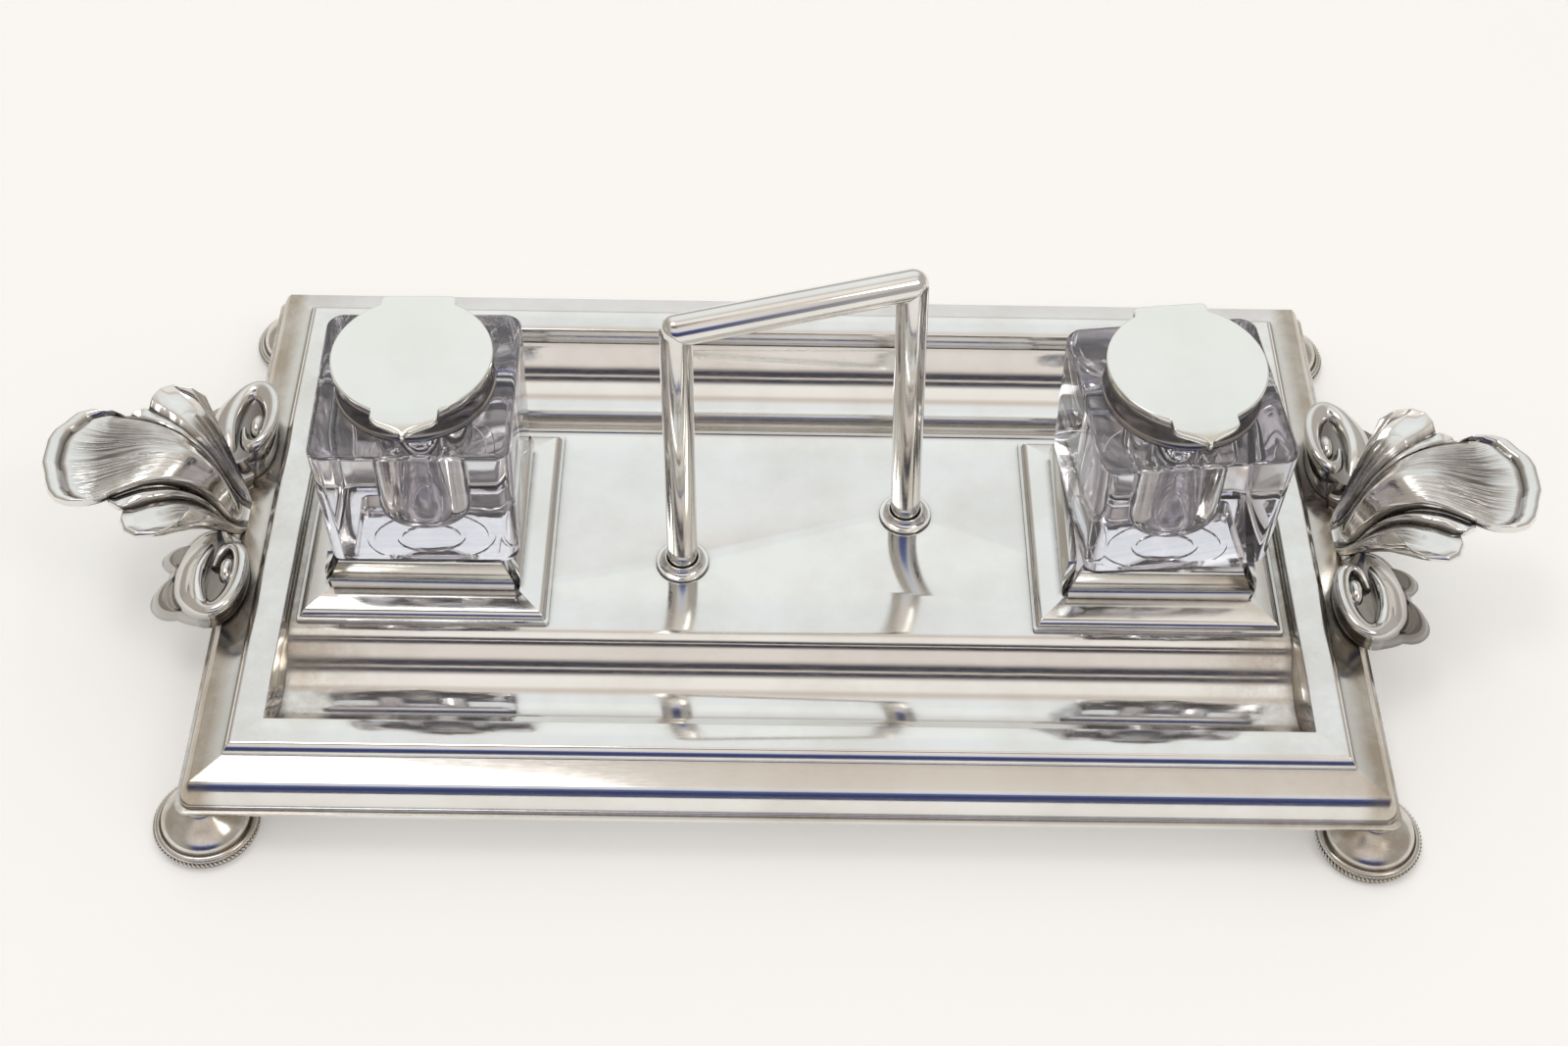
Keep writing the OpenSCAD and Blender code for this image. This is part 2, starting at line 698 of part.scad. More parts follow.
// Smooth curve through hand-set points: v runs from 0 to len(p) - 1
function through(p, v) = let (
    last = len(p) - 1,
    i = min(floor(v), last - 1),
    u = v - i,
    a = p[max(i - 1, 0)], b = p[i], c = p[i + 1], d = p[min(i + 2, last)]
) 0.5 * (2 * b + (c - a) * u + (2 * a - 5 * b + 4 * c - d) * u * u
    + (3 * b - a - 3 * c + d) * u * u * u);

// Leaf: side view of its middle vein, as shares of its run and of its rise
vein = [
    [0, 0], [0.043, 0.03], [0.07, 0.096], [0.086, 0.23], [0.106, 0.44], [0.137, 0.64], [0.204, 0.82],
    [0.30, 0.95], [0.43, 1], [0.575, 0.978], [0.724, 0.92], [0.87, 0.868], [1, 0.855]
];
crest_at = 8;
// Outline of half the leaf: share across, share of the run, share of the half width
leaf_outline = [
    [0, 1, 0.10], [0.07, 0.99, 0.20], [0.14, 0.965, 0.34], [0.21, 0.925, 0.47], [0.28, 0.87, 0.57],
    [0.34, 0.80, 0.62], [0.40, 0.72, 0.62], [0.46, 0.65, 0.56], [0.52, 0.60, 0.49],
    [0.56, 0.585, 0.60], [0.62, 0.53, 0.66], [0.66, 0.50, 0.66], [0.70, 0.505, 0.82], [0.76, 0.475, 0.94],
    [0.83, 0.41, 1], [0.90, 0.31, 0.97], [0.96, 0.22, 0.84], [1, 0.16, 0.62]
];
leaf_root_half = 5.5;
leaf_rows = 28;
root_in = 1.2;
root_out = 0.1;
seat_rise = 0.3;
leaf_run = leaf_reach + slope_in + root_in;
leaf_rise = leaf_crest - slope_low;
t_steps = [for (q = leaf_outline) q[0]];
leaf_ts = concat([for (i = [len(t_steps) - 1:-1:1]) -t_steps[i]], t_steps);
leaf_share_x = [for (q = leaf_outline) [q[0], q[1]]];
leaf_share_y = [for (q = leaf_outline) [q[0], q[2]]];

function smooth(a, b, v) = let (u = min(1, max(0, (v - a) / (b - a)))) u * u * (3 - 2 * u);
lobe_edge = 0.52;
small_edge = 0.66;
rib_h = 1.5;
small_rib_h = 0.9;
rim_h = 1.1;
spoon_depth = 2.4;
// Height of the modelling over the plain leaf: ribs near the root, and a hollow inside
// a raised rim towards the end of the middle lobe
function leaf_relief(s, t) = let (
    a = abs(t),
    c = a / lobe_edge,
    inner = 1 - pow(min(1, max(c, (s - 0.7) / 0.25)), 4),
    rib = rib_h * (1 - c * c),
    spoon = rim_h - spoon_depth * inner,
    small = 1 - pow((a - (lobe_edge + small_edge) / 2) / ((small_edge - lobe_edge) / 2), 2),
    broad = 1 - pow((a - (1 + small_edge) / 2) / ((1 - small_edge) / 2), 2),
    w = smooth(0.5, 0.8, s)
) (a < lobe_edge ? rib * (1 - w) + spoon * w :
   a < small_edge ? small_rib_h * small : rib_h * broad) * min(1, 4 * s);

// A rib from the root to the outline, at s along it: run and height. The outer ribs rise evenly
function leaf_rib(s, t, span) = let (
    v = s * (len(vein) - 1),
    here = through(vein, v),
    crest_run = vein[crest_at][0] * leaf_run,
    crest_span = min(crest_run, 0.7 * span),
    run = here[0] * leaf_run,
    mid = run <= crest_run ? run * crest_span / crest_run :
        crest_span + (span - crest_span) * (run - crest_run) / (leaf_run - crest_run),
    w = pow(abs(t), 1.6)
) [mid * (1 - w) + span * s * w, leaf_rise * (here[1] * (1 - w) + 0.86 * pow(s, 0.92) * w)];

// A point of the leaf's face, and the same point on its back
function leaf_point(s, t, back) = let (
    root = [-root_in, leaf_root_half * t],
    tip = [lookup(abs(t), leaf_share_x) * leaf_run - root_in,
        (t < 0 ? -1 : 1) * lookup(abs(t), leaf_share_y) * leaf_half_w],
    span = norm(tip - root),
    aim = (tip - root) / span,
    here = leaf_rib(s, t, span),
    slope = unit2(leaf_rib(min(s + 0.01, 1), t, span) - leaf_rib(max(s - 0.01, 0), t, span)),
    thick = leaf_t * (1 - 0.45 * max(s, abs(t))),
    off = (back ? thick : 0) - leaf_relief(s, t),
    plan = root + aim * (here[0] + slope[1] * off),
    foot_at = back ? -root_out : -root_in,
    z = here[1] - slope[0] * off
) s == 0 ? [foot_at, leaf_root_half * t, slope_z(foot_at)] :
    [plan[0], plan[1], max(z, slope_z(min(plan[0], 0)) + seat_rise)];

module end_leaf(side) {
    points = [for (i = [0:leaf_rows]) let (s = i / leaf_rows) each concat(
        [for (t = leaf_ts) leaf_point(s, t, false)],
        [for (j = [len(leaf_ts) - 1:-1:0]) leaf_point(s, leaf_ts[j], true)]
    )];
    color(silver) at_end(side) translate([0, side < 0 ? 0 : end_shift, 0])
        polyhedron(points, skin_faces(leaf_rows + 1, 2 * len(leaf_ts)), convexity = 6);
}
module end_leaf_left() { end_leaf(-1); }
module end_leaf_right() { end_leaf(1); }

// Scroll: an upright wall that winds inwards, on a floor, with a domed eye. Its outer flank
// spreads towards the seat and ends in three small leaflets
scroll_squash = 0.53;
scroll_x = -0.6;
scroll_turns = 1.7;
scroll_rows = 48;
scroll_wall = 3;
scroll_eye = [-1.2, -1];
scroll_eye_r = 2.5;
scroll_floor_h = 6.5;
loop_r = 5.6;
loop_fall = 2;
scroll_start = -115;
scroll_lean = [4, -4];
leaflet_at = -27;
leaflet_turn = 33;
flare = 7;
leaflet = 2;

// How far the wall has wound in: 0 on the outer turn, 1 on the loop round the eye
function scroll_wind(u) = smooth(0.42, 0.75, u);
function scroll_centre(u) = let (
    a = scroll_start + 360 * scroll_turns * u,
    k = scroll_wind(u),
    r = (scroll_r - scroll_wall / 2) * (1 - k) + (loop_r - loop_fall * u) * k
) [scroll_x + scroll_eye[0] * k + (scroll_squash + 0.12 * k) * r * cos(a),
    scroll_y + scroll_eye[1] * k + r * sin(a)];
// How far the flank's foot stands out from the rim
function scroll_flare(u) = let (a = scroll_start + 360 * scroll_turns * u)
    u > 0.45 ? 0 : (flare + leaflet * cos(360 * (a - leaflet_at) / leaflet_turn))
        * smooth(-110, -60, a) * (1 - smooth(10, 75, a));
function scroll_section(w, h, out) = [
    [-w / 2, 0], [w / 2 + out, 0], [w / 2 + 0.1 + 0.8 * out, h * 0.35], [w / 2 + 0.1 + 0.3 * out, h * 0.8],
    [w * 0.3, h], [-w * 0.3, h], [-w / 2, h * 0.85], [-w / 2, h * 0.4]
];

module scroll(side, y_side) {
    points = [for (i = [0:scroll_rows]) let (
        u = i / scroll_rows,
        c = scroll_centre(u),
        ahead = scroll_centre(u + 0.005) - scroll_centre(u - 0.005),
        out = right_of(unit2(ahead)),
        w = scroll_wall * (1 - 0.45 * u),
        h = scroll_h * (0.35 + 0.65 * smooth(0, 0.18, u)) * (1 - 0.12 * u)
    ) each [for (q = scroll_section(w, h, scroll_flare(u))) let (
        p = c + out * q[0] + scroll_lean * (1 - q[1] / scroll_h)
    ) [p[0], p[1], q[1]]]];
    floor_r = scroll_r - scroll_wall / 2;
    color(silver) at_end(side) translate([0, side < 0 ? 0 : end_shift, 0]) mirror([0, y_side < 0 ? 1 : 0, 0])
        rotate([0, slope_angle, 0]) union() {
            polyhedron(points, skin_faces(scroll_rows + 1, 8), convexity = 8);
            linear_extrude(scroll_floor_h) polygon([for (i = [0:35]) let (a = 10 * i)
                [scroll_x + 0.65 * scroll_lean[0] + scroll_squash * floor_r * cos(a),
                 scroll_y + 0.65 * scroll_lean[1] + floor_r * sin(a)]]);
            translate([scroll_x + scroll_eye[0], scroll_y + scroll_eye[1], 1])
                cylinder(r = scroll_eye_r, h = scroll_h - 2.5, $fn = round_fn);
        }
}
module scroll_left_front() { scroll(-1, -1); }
module scroll_left_back() { scroll(-1, 1); }
module scroll_right_front() { scroll(1, -1); }
module scroll_right_back() { scroll(1, 1); }

tray_pan();
border_front();
border_back();
border_left();
border_right();
gallery_left();
gallery_right();
gallery_rails_left();
gallery_rails_right();
bottle_left();
bottle_right();
collar_left();
collar_right();
lid_left();
lid_right();
hinge_pin_left();
hinge_pin_right();
handle_post_left();
handle_post_right();
handle_bar();
handle_rose_left();
handle_rose_right();
handle_nuts();
foot_front_left();
foot_front_right();
foot_back_left();
foot_back_right();
foot_screws();
foot_nuts();
end_leaf_left();
end_leaf_right();
scroll_left_front();
scroll_left_back();
scroll_right_front();
scroll_right_back();
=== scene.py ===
"""A silver-plated desk inkstand with two glass bottles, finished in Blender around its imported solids."""
import json
import math

import bmesh
import bpy
import numpy as np
from mathutils import Matrix, Vector


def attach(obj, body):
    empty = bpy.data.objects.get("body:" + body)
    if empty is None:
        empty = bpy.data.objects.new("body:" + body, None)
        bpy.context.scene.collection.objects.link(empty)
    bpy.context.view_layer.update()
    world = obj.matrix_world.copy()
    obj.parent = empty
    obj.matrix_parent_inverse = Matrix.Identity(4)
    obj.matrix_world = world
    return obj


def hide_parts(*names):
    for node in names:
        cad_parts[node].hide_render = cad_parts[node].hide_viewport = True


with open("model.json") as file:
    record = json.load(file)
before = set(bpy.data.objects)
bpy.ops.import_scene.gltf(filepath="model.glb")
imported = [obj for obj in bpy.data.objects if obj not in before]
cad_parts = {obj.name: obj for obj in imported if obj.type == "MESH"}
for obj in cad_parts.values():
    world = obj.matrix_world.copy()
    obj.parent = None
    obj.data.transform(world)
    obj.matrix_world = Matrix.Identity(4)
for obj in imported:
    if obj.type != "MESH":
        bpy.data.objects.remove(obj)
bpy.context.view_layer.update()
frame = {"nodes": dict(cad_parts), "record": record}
NODES = frame["nodes"]
SLOT_OF = {s["node"]: s["material_slot"] for s in frame["record"]["subparts"]}
BODY_OF = {n: b for b, names in frame["record"]["behaviour"]["bodies"].items() for n in names}
MM = 0.001


# Camera, at the photograph's place

CAMERA_AT = (-0.0073, -0.3766, 0.4744)
CAMERA_YAW = 0.014
CAMERA_PITCH = -0.877
CAMERA_ROLL = 0.025
CAMERA_LENS = 50.24


def photo_camera():
    """A camera that looks down on the stand from in front, at the photograph's angle."""
    yaw, pitch, roll = CAMERA_YAW, CAMERA_PITCH, CAMERA_ROLL
    ahead = Vector((math.sin(yaw) * math.cos(pitch), math.cos(yaw) * math.cos(pitch), math.sin(pitch)))
    level = Vector((math.cos(yaw), -math.sin(yaw), 0))
    above = level.cross(ahead)
    right = level * math.cos(roll) + above * math.sin(roll)
    up = above * math.cos(roll) - level * math.sin(roll)
    data = bpy.data.cameras.new("camera")
    data.sensor_fit = "HORIZONTAL"
    data.sensor_width = 36
    data.lens = CAMERA_LENS
    data.clip_start = 0.01
    camera = bpy.data.objects.new("camera", data)
    turn = Matrix((right, up, -ahead)).transposed().to_4x4()
    camera.matrix_world = Matrix.Translation(CAMERA_AT) @ turn
    bpy.context.scene.collection.objects.link(camera)
    bpy.context.scene.camera = camera


# Node trees

class Tree:
    """Short words for building a node tree."""

    def __init__(self, tree):
        self.tree = tree
        self.tree.nodes.clear()

    def node(self, kind, inputs=None, **settings):
        made = self.tree.nodes.new(kind)
        for key, value in settings.items():
            setattr(made, key, value)
        for key, value in (inputs or {}).items():
            self.put(made.inputs[key], value)
        return made

    def put(self, socket, value):
        if isinstance(value, bpy.types.NodeSocket):
            self.tree.links.new(value, socket)
        else:
            socket.default_value = value

    def math(self, operation, a, b=0.0, clamp=False):
        return self.node("ShaderNodeMath", {0: a, 1: b}, operation=operation, use_clamp=clamp).outputs[0]

    def times(self, value, *factors):
        """A product of two or more values."""
        for factor in factors:
            value = self.math("MULTIPLY", value, factor)
        return value

    def mix(self, share, a, b):
        """A colour on the way from a to b."""
        made = self.node("ShaderNodeMix", data_type="RGBA")
        self.put(made.inputs[0], share)
        self.put(made.inputs[6], a)
        self.put(made.inputs[7], b)
        return made.outputs[2]

    def ramp(self, value, low, high, start=0.0, end=1.0):
        """A value between low and high, taken to between start and end."""
        return self.node("ShaderNodeMapRange", {0: value, 1: low, 2: high, 3: start, 4: end}).outputs[0]

    def place(self):
        """Where on the stand a point lies, at rest."""
        return self.node("ShaderNodeTexCoord").outputs["Object"]

    def noise(self, where, scale, detail=3.0, rough=0.5):
        inputs = {"Vector": where, "Scale": scale, "Detail": detail, "Roughness": rough}
        return self.node("ShaderNodeTexNoise", inputs).outputs["Fac"]

    def bump(self, height, strength, distance, normal=None):
        """A normal leant by a height, over another normal if there is one."""
        inputs = {"Height": height, "Strength": strength, "Distance": distance}
        if normal is not None:
            inputs["Normal"] = normal
        return self.node("ShaderNodeBump", inputs).outputs[0]

    def surface(self, inputs):
        """Ends a material's tree in a surface with these inputs."""
        shader = self.node("ShaderNodeBsdfPrincipled", inputs)
        self.node("ShaderNodeOutputMaterial", {"Surface": shader.outputs[0]})


def new_material(name):
    """A material and its empty node tree."""
    material = bpy.data.materials.new(name)
    material.use_nodes = True
    return material, Tree(material.node_tree)


def colour(red, green, blue):
    """An opaque colour."""
    return (red, green, blue, 1.0)


# Materials

BRIGHT_SILVER = colour(0.83, 0.825, 0.80)
WARM_TARNISH = colour(0.42, 0.35, 0.26)
# Near black: tarnish in the leaves' grooves and chased strokes, and painted shade in hollows and inside the scrolls
DARK_TARNISH_AND_SHADE = colour(0.10, 0.085, 0.07)
LILAC_GLASS = colour(0.955, 0.945, 0.985), colour(0.935, 0.925, 0.98)
# The collars' painted shade from the lids above them and their painted dark reflection, as two tones; between the next
# two heights it gives way to bright silver on the hinge's knuckles
COLLAR_SHADE_TONES = colour(0.22, 0.215, 0.23), colour(0.36, 0.33, 0.30)
COLLAR_SHADE_ENDS = 82.6 * MM, 83.0 * MM
END_FILM = 0.102, 0.136
OUTER_FILM = 0.139, 0.1445
SCRATCH_STRENGTH, SCRATCH_DEPTH = 0.028, 0.02 * MM
CHASING_DEPTH = 0.45 * MM


def end_films(t, where, patches, ends, outer):
    """Adds the broken brown film near the tray's ends, and the streaked one on the slopes past them."""
    along = t.math("ABSOLUTE", t.node("ShaderNodeSeparateXYZ", {0: where}).outputs["X"])
    broken = t.ramp(t.noise(where, 90.0, 5.0, 0.7), 0.3, 0.6)
    brown = t.times(t.ramp(along, *END_FILM), broken, ends)
    patches = t.math("ADD", patches, brown, clamp=True)
    if outer:
        streaks = t.ramp(t.noise(where, 60.0, 6.0, 0.75), 0.25, 0.6, 0.5, 1.0)
        patches = t.math("MAXIMUM", patches, t.times(t.ramp(along, *OUTER_FILM), streaks, outer))
    return patches


def chasing(t, normal):
    """The fine strokes along a leaf's ribs: the normal they lean, and how dark they are."""
    ribs = t.node("ShaderNodeUVMap", uv_map="ribs").outputs[0]
    combed = t.node("ShaderNodeMapping", {"Vector": ribs, "Scale": (95.0, 4.0, 1.0)}).outputs[0]
    strokes = t.noise(combed, 1.0, 2.0, 0.6)
    lined = t.node("ShaderNodeAttribute", attribute_name="lined").outputs["Fac"]
    scored = t.times(t.ramp(strokes, 0.56, 0.40, 0.12, 0.85), lined)
    return t.bump(t.times(strokes, lined), 1.0, CHASING_DEPTH, normal), scored


def silver(name, polish, tarnish, dark=0.8, hollow=2.5, dents=0.0, base=BRIGHT_SILVER, ends=0.0, outer=0.0,
           chased=False):
    """Worn silver plate: bright where it is rubbed, warm in patches, with painted shade in its hollows.
    polish is its roughness; tarnish, dark, ends and outer are how strong the warm patches, the
    hollows' painted shade, the film near the tray's ends and the film past them are. hollow is how far a
    hollow reaches and dents how deep the soft dents are, in millimetres. chased is for the leaves; it
    also reads the dark that the castings' points carry: tarnish on the leaves, painted shade in the scrolls."""
    material, t = new_material(name)
    where = t.place()
    cloud = t.noise(where, 38.0, 5.0, 0.6)
    fine = t.noise(where, 420.0, 4.0, 0.65)
    # Painted shade: ambient occlusion finds where the silver lies in a hollow or crease, and the colour is darkened
    # there, broken by fine noise
    shelter = t.node("ShaderNodeAmbientOcclusion", {"Distance": hollow * MM}, samples=8).outputs["AO"]
    in_hollow = t.ramp(shelter, 0.35, 0.95, 1.0, 0.0)
    patches = t.times(t.ramp(cloud, 0.42, 0.72), tarnish)
    if ends:
        patches = end_films(t, where, patches, ends, outer)
    worn = t.mix(patches, base, WARM_TARNISH)
    speckled_shade = t.times(in_hollow, t.ramp(fine, 0.25, 0.6, 0.7, 1.0))
    shade = t.math("MULTIPLY", speckled_shade, dark, clamp=True)
    # The castings' points carry tarnish in the leaves' grooves and painted shade inside the scrolls
    if chased:
        black = t.node("ShaderNodeAttribute", attribute_name="tarnish_and_shade").outputs["Fac"]
        shade = t.math("MAXIMUM", shade, t.times(black, 0.9))
    final = t.mix(shade, worn, DARK_TARNISH_AND_SHADE)
    stretched = t.node("ShaderNodeMapping", {"Vector": where, "Scale": (1.0, 14.0, 3.0)}).outputs[0]
    scratches = t.noise(stretched, 260.0, 3.0, 0.7)
    rough = t.math("ADD", t.ramp(scratches, 0.4, 0.8, polish * 0.7, polish * 1.5),
                   t.times(t.math("ADD", in_hollow, patches), 0.16))
    normal = t.bump(scratches, SCRATCH_STRENGTH, SCRATCH_DEPTH)
    if dents:
        normal = t.bump(t.noise(where, 55.0, 1.0, 0.4), 1.0, dents * MM, normal)
    if chased:
        normal, scored = chasing(t, normal)
        final = t.mix(scored, final, DARK_TARNISH_AND_SHADE)
    t.surface({"Base Color": final, "Roughness": rough, "Normal": normal, "Metallic": 1.0})
    return material


def clear_glass(name):
    """Thick old glass: clear with a lilac cast, faint waves, and rubbed patches."""
    material, t = new_material(name)
    where = t.place()
    cast = t.mix(t.ramp(t.noise(where, 30.0, 2.0), 0.3, 0.7), *LILAC_GLASS)
    rubbed = t.ramp(t.noise(where, 700.0, 4.0, 0.7), 0.5, 0.8, 0.02, 0.08)
    waves = t.bump(t.noise(where, 45.0, 1.0, 0.4), 0.2, 0.2 * MM)
    t.surface({"Base Color": cast, "Roughness": rubbed, "Normal": waves, "Transmission Weight": 0.93, "IOR": 1.42})
    return material


def shaded_collar_silver(name):
    """Collar silver painted brown-black, as painted shade from the lid above and a painted dark reflection, with bright
    silver on the hinge's knuckles above that painted shade.
    """
    material, t = new_material(name)
    where = t.place()
    cloud = t.ramp(t.noise(where, 90.0, 5.0, 0.6), 0.35, 0.7)
    height = t.node("ShaderNodeSeparateXYZ", {0: where}).outputs["Z"]
    final = t.mix(t.ramp(height, *COLLAR_SHADE_ENDS), t.mix(cloud, *COLLAR_SHADE_TONES), BRIGHT_SILVER)
    pores = t.bump(t.noise(where, 500.0, 3.0, 0.6), 0.1, SCRATCH_DEPTH)
    t.surface({"Base Color": final, "Roughness": t.ramp(cloud, 0, 1, 0.13, 0.24), "Normal": pores, "Metallic": 1.0})
    return material


FINISH = {
    "pan_silver": silver("rubbed silver of the tray", polish=0.09, tarnish=0.2, dark=0.6, hollow=3, dents=0.05,
                         ends=0.7),
    "moulding_silver": silver("silver of the mouldings", polish=0.11, tarnish=0.2, dark=0.9, hollow=2, ends=0.18,
                              outer=0.9),
    "handle_silver": silver("silver of the carrying handle", polish=0.10, tarnish=0.20, dark=0.7, hollow=2),
    "foot_silver": silver("silver of the feet", polish=0.13, tarnish=0.5, dark=0.9, hollow=2, ends=0.45),
    "cast_silver": silver("silver of the cast leaves", polish=0.10, tarnish=0.22, dark=0.9, hollow=3, ends=0.08,
                          chased=True),
    # Collars: painted shade and a painted dark reflection in their colour
    "collar_silver": shaded_collar_silver("collar silver with painted shade"),
    "lid_silver": silver("silver of the lids", polish=0.10, tarnish=0.08, dark=0.5, hollow=1.5, dents=0.05,
                         base=colour(0.84, 0.84, 0.795)),
    "bottle_glass": clear_glass("clear glass of the bottles"),
    "fixing_steel": silver("steel of the fixings", polish=0.35, tarnish=0.6, base=colour(0.45, 0.44, 0.43)),
}


# Pieces

SOLID_MERGE, SHELL_MERGE = 0.002 * MM, 0.0005 * MM
FLAT_WITHIN, SHARP_FROM = math.radians(0.2), math.radians(30)
EASED_EDGE, EASED_RAIL = 0.25 * MM, 0.15 * MM


def keep(piece, node, *more):
    """Puts a finished piece in the place of one or more of the solids."""
    slot = SLOT_OF[node]
    piece.data.materials.clear()
    piece.data.materials.append(FINISH[slot])
    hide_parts(node, *more)
    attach(piece, BODY_OF[node])


def new_piece(name, mesh):
    """An object at the stand's origin, unturned and unscaled, that carries a mesh."""
    piece = bpy.data.objects.new(name, mesh)
    bpy.context.scene.collection.objects.link(piece)
    return piece


def bake_modifiers(piece):
    """Makes a piece's modifiers part of its mesh."""
    bpy.context.view_layer.update()
    graph = bpy.context.evaluated_depsgraph_get()
    mesh = bpy.data.meshes.new_from_object(piece.evaluated_get(graph))
    piece.modifiers.clear()
    piece.data = mesh


def smooth_shade(mesh, angle):
    """Smooth shading, kept sharp where faces meet at more than the angle."""
    for face in mesh.polygons:
        face.use_smooth = True
    mesh.set_sharp_from_angle(angle=math.radians(angle))


def merged_copy(node):
    """The solid's triangles joined up, with its flat faces made whole."""
    mesh = NODES[node].data.copy()
    mesh.materials.clear()
    bm = bmesh.new()
    bm.from_mesh(mesh)
    bmesh.ops.remove_doubles(bm, verts=bm.verts, dist=SOLID_MERGE)
    bmesh.ops.dissolve_limit(bm, angle_limit=FLAT_WITHIN, verts=bm.verts, edges=bm.edges)
    bm.to_mesh(mesh)
    bm.free()
    return mesh


def ease(node, edge):
    """Finishes a solid with its sharp edges rounded as polishing rounds them."""
    piece = new_piece(node + "_finished", merged_copy(node))
    bevel = piece.modifiers.new("edges", "BEVEL")
    bevel.width = edge
    bevel.segments = 3
    bevel.limit_method = "ANGLE"
    bevel.angle_limit = SHARP_FROM
    bevel.use_clamp_overlap = True
    bake_modifiers(piece)
    smooth_shade(piece.data, 35)
    keep(piece, node)


def grid_faces(rows, cols, closed):
    """Quads over a grid of points, row by row; closed joins the last column to the first."""
    i, j = np.meshgrid(np.arange(rows - 1), np.arange(cols if closed else cols - 1), indexing="ij")
    k = (j + 1) % cols
    return np.stack([i * cols + j, i * cols + k, (i + 1) * cols + k, (i + 1) * cols + j], -1).reshape(-1, 4)


def joined(shells):
    """Several closed grids of points as one mesh."""
    points, faces, count = [], [], 0
    for grid in shells:
        rows, cols = grid.shape[:2]
        points.append(grid.reshape(-1, 3))
        faces.append(grid_faces(rows, cols, True) + count)
        count += rows * cols
    return np.concatenate(points), np.concatenate(faces)


def mesh_from(name, points, faces):
    """A mesh of points in metres, as a list or a grid, and faces."""
    mesh = bpy.data.meshes.new(name)
    mesh.from_pydata(points.reshape(-1, 3).tolist(), [], [list(f) for f in faces])
    return mesh


def face_outwards(mesh):
    """Merges points that fall together, closes the ends and turns every face outwards."""
    bm = bmesh.new()
    bm.from_mesh(mesh)
    bmesh.ops.remove_doubles(bm, verts=bm.verts, dist=SHELL_MERGE)
    bmesh.ops.dissolve_degenerate(bm, edges=bm.edges, dist=SHELL_MERGE)
    loose = [e for e in bm.edges if e.is_boundary]
    if loose:
        bmesh.ops.holes_fill(bm, edges=loose)
    bmesh.ops.recalc_face_normals(bm, faces=bm.faces)
    bm.to_mesh(mesh)
    bm.free()


def finish(mesh, node, sharp):
    """Closes a mesh, shades it smooth up to the angle sharp, and puts it in a solid's place."""
    face_outwards(mesh)
    smooth_shade(mesh, sharp)
    keep(new_piece(mesh.name, mesh), node)


# End castings: the leaf and its two scrolls, in a frame whose origin is the outer, lower end
# of the border's slope, x outwards and z up, in millimetres

END_X, END_Z = 146.8, 21.5
END_SHIFT = {"left": 0.0, "right": -2.0}
SLOPE_FALL = 1.1 / 7.1
# The leaf's midrib from root to tip: its run and its rise, as shares
VEIN = np.array([
    (0, 0), (0.043, 0.03), (0.07, 0.096), (0.086, 0.23), (0.106, 0.44), (0.137, 0.64), (0.204, 0.82),
    (0.30, 0.95), (0.43, 1), (0.575, 0.978), (0.724, 0.92), (0.87, 0.868), (1, 0.855),
])
VEIN_CREST = 8
# The leaf's edge from the tip to the root: a rib's place across, where it ends along, and how far out
LEAF_OUTLINE = np.array([
    (0, 1, 0.10), (0.07, 0.99, 0.20), (0.14, 0.965, 0.34), (0.21, 0.925, 0.47), (0.28, 0.87, 0.57),
    (0.34, 0.80, 0.62), (0.40, 0.72, 0.62), (0.46, 0.65, 0.56), (0.52, 0.60, 0.49),
    (0.56, 0.585, 0.60), (0.62, 0.53, 0.66), (0.66, 0.50, 0.66), (0.70, 0.505, 0.82), (0.76, 0.475, 0.94),
    (0.83, 0.41, 1), (0.90, 0.31, 0.97), (0.96, 0.22, 0.84), (1, 0.16, 0.62),
])
LEAF_RUN, LEAF_RISE, LEAF_HALF_W, LEAF_T = 50.6, 27.2, 26.0, 2.6
ROOT_HALF, ROOT_IN, ROOT_OUT, SEAT_RISE = 5.5, 1.2, 0.1, 0.3
LOBE_EDGE, SMALL_EDGE = 0.52, 0.66


def smooth(low, high, value):
    """0 below low, 1 above high, and a soft step between."""
    share = np.clip((value - low) / (high - low), 0, 1)
    return share * share * (3 - 2 * share)


def through(points, place):
    """A smooth curve through given points; place runs from 0 to the last point's number."""
    last = len(points) - 1
    i = np.minimum(np.floor(place).astype(int), last - 1)
    u = (place - i)[..., None]
    a, b = points[np.maximum(i - 1, 0)], points[i]
    c, d = points[i + 1], points[np.minimum(i + 2, last)]
    return 0.5 * (2 * b + (c - a) * u + (2 * a - 5 * b + 4 * c - d) * u ** 2 + (3 * b - a - 3 * c + d) * u ** 3)


def leaf_end(t):
    """Where the rib at t ends, in plan."""
    a = np.abs(t)
    x = np.interp(a, LEAF_OUTLINE[:, 0], LEAF_OUTLINE[:, 1]) * LEAF_RUN - ROOT_IN
    y = np.sign(t) * np.interp(a, LEAF_OUTLINE[:, 0], LEAF_OUTLINE[:, 2]) * LEAF_HALF_W
    x_wave = -1.5 * np.exp(-((t + 0.10) / 0.14) ** 2) - 0.9 * np.exp(-((t - 0.20) / 0.05) ** 2)
    return np.stack([x + x_wave * (a < 0.5), y], -1)


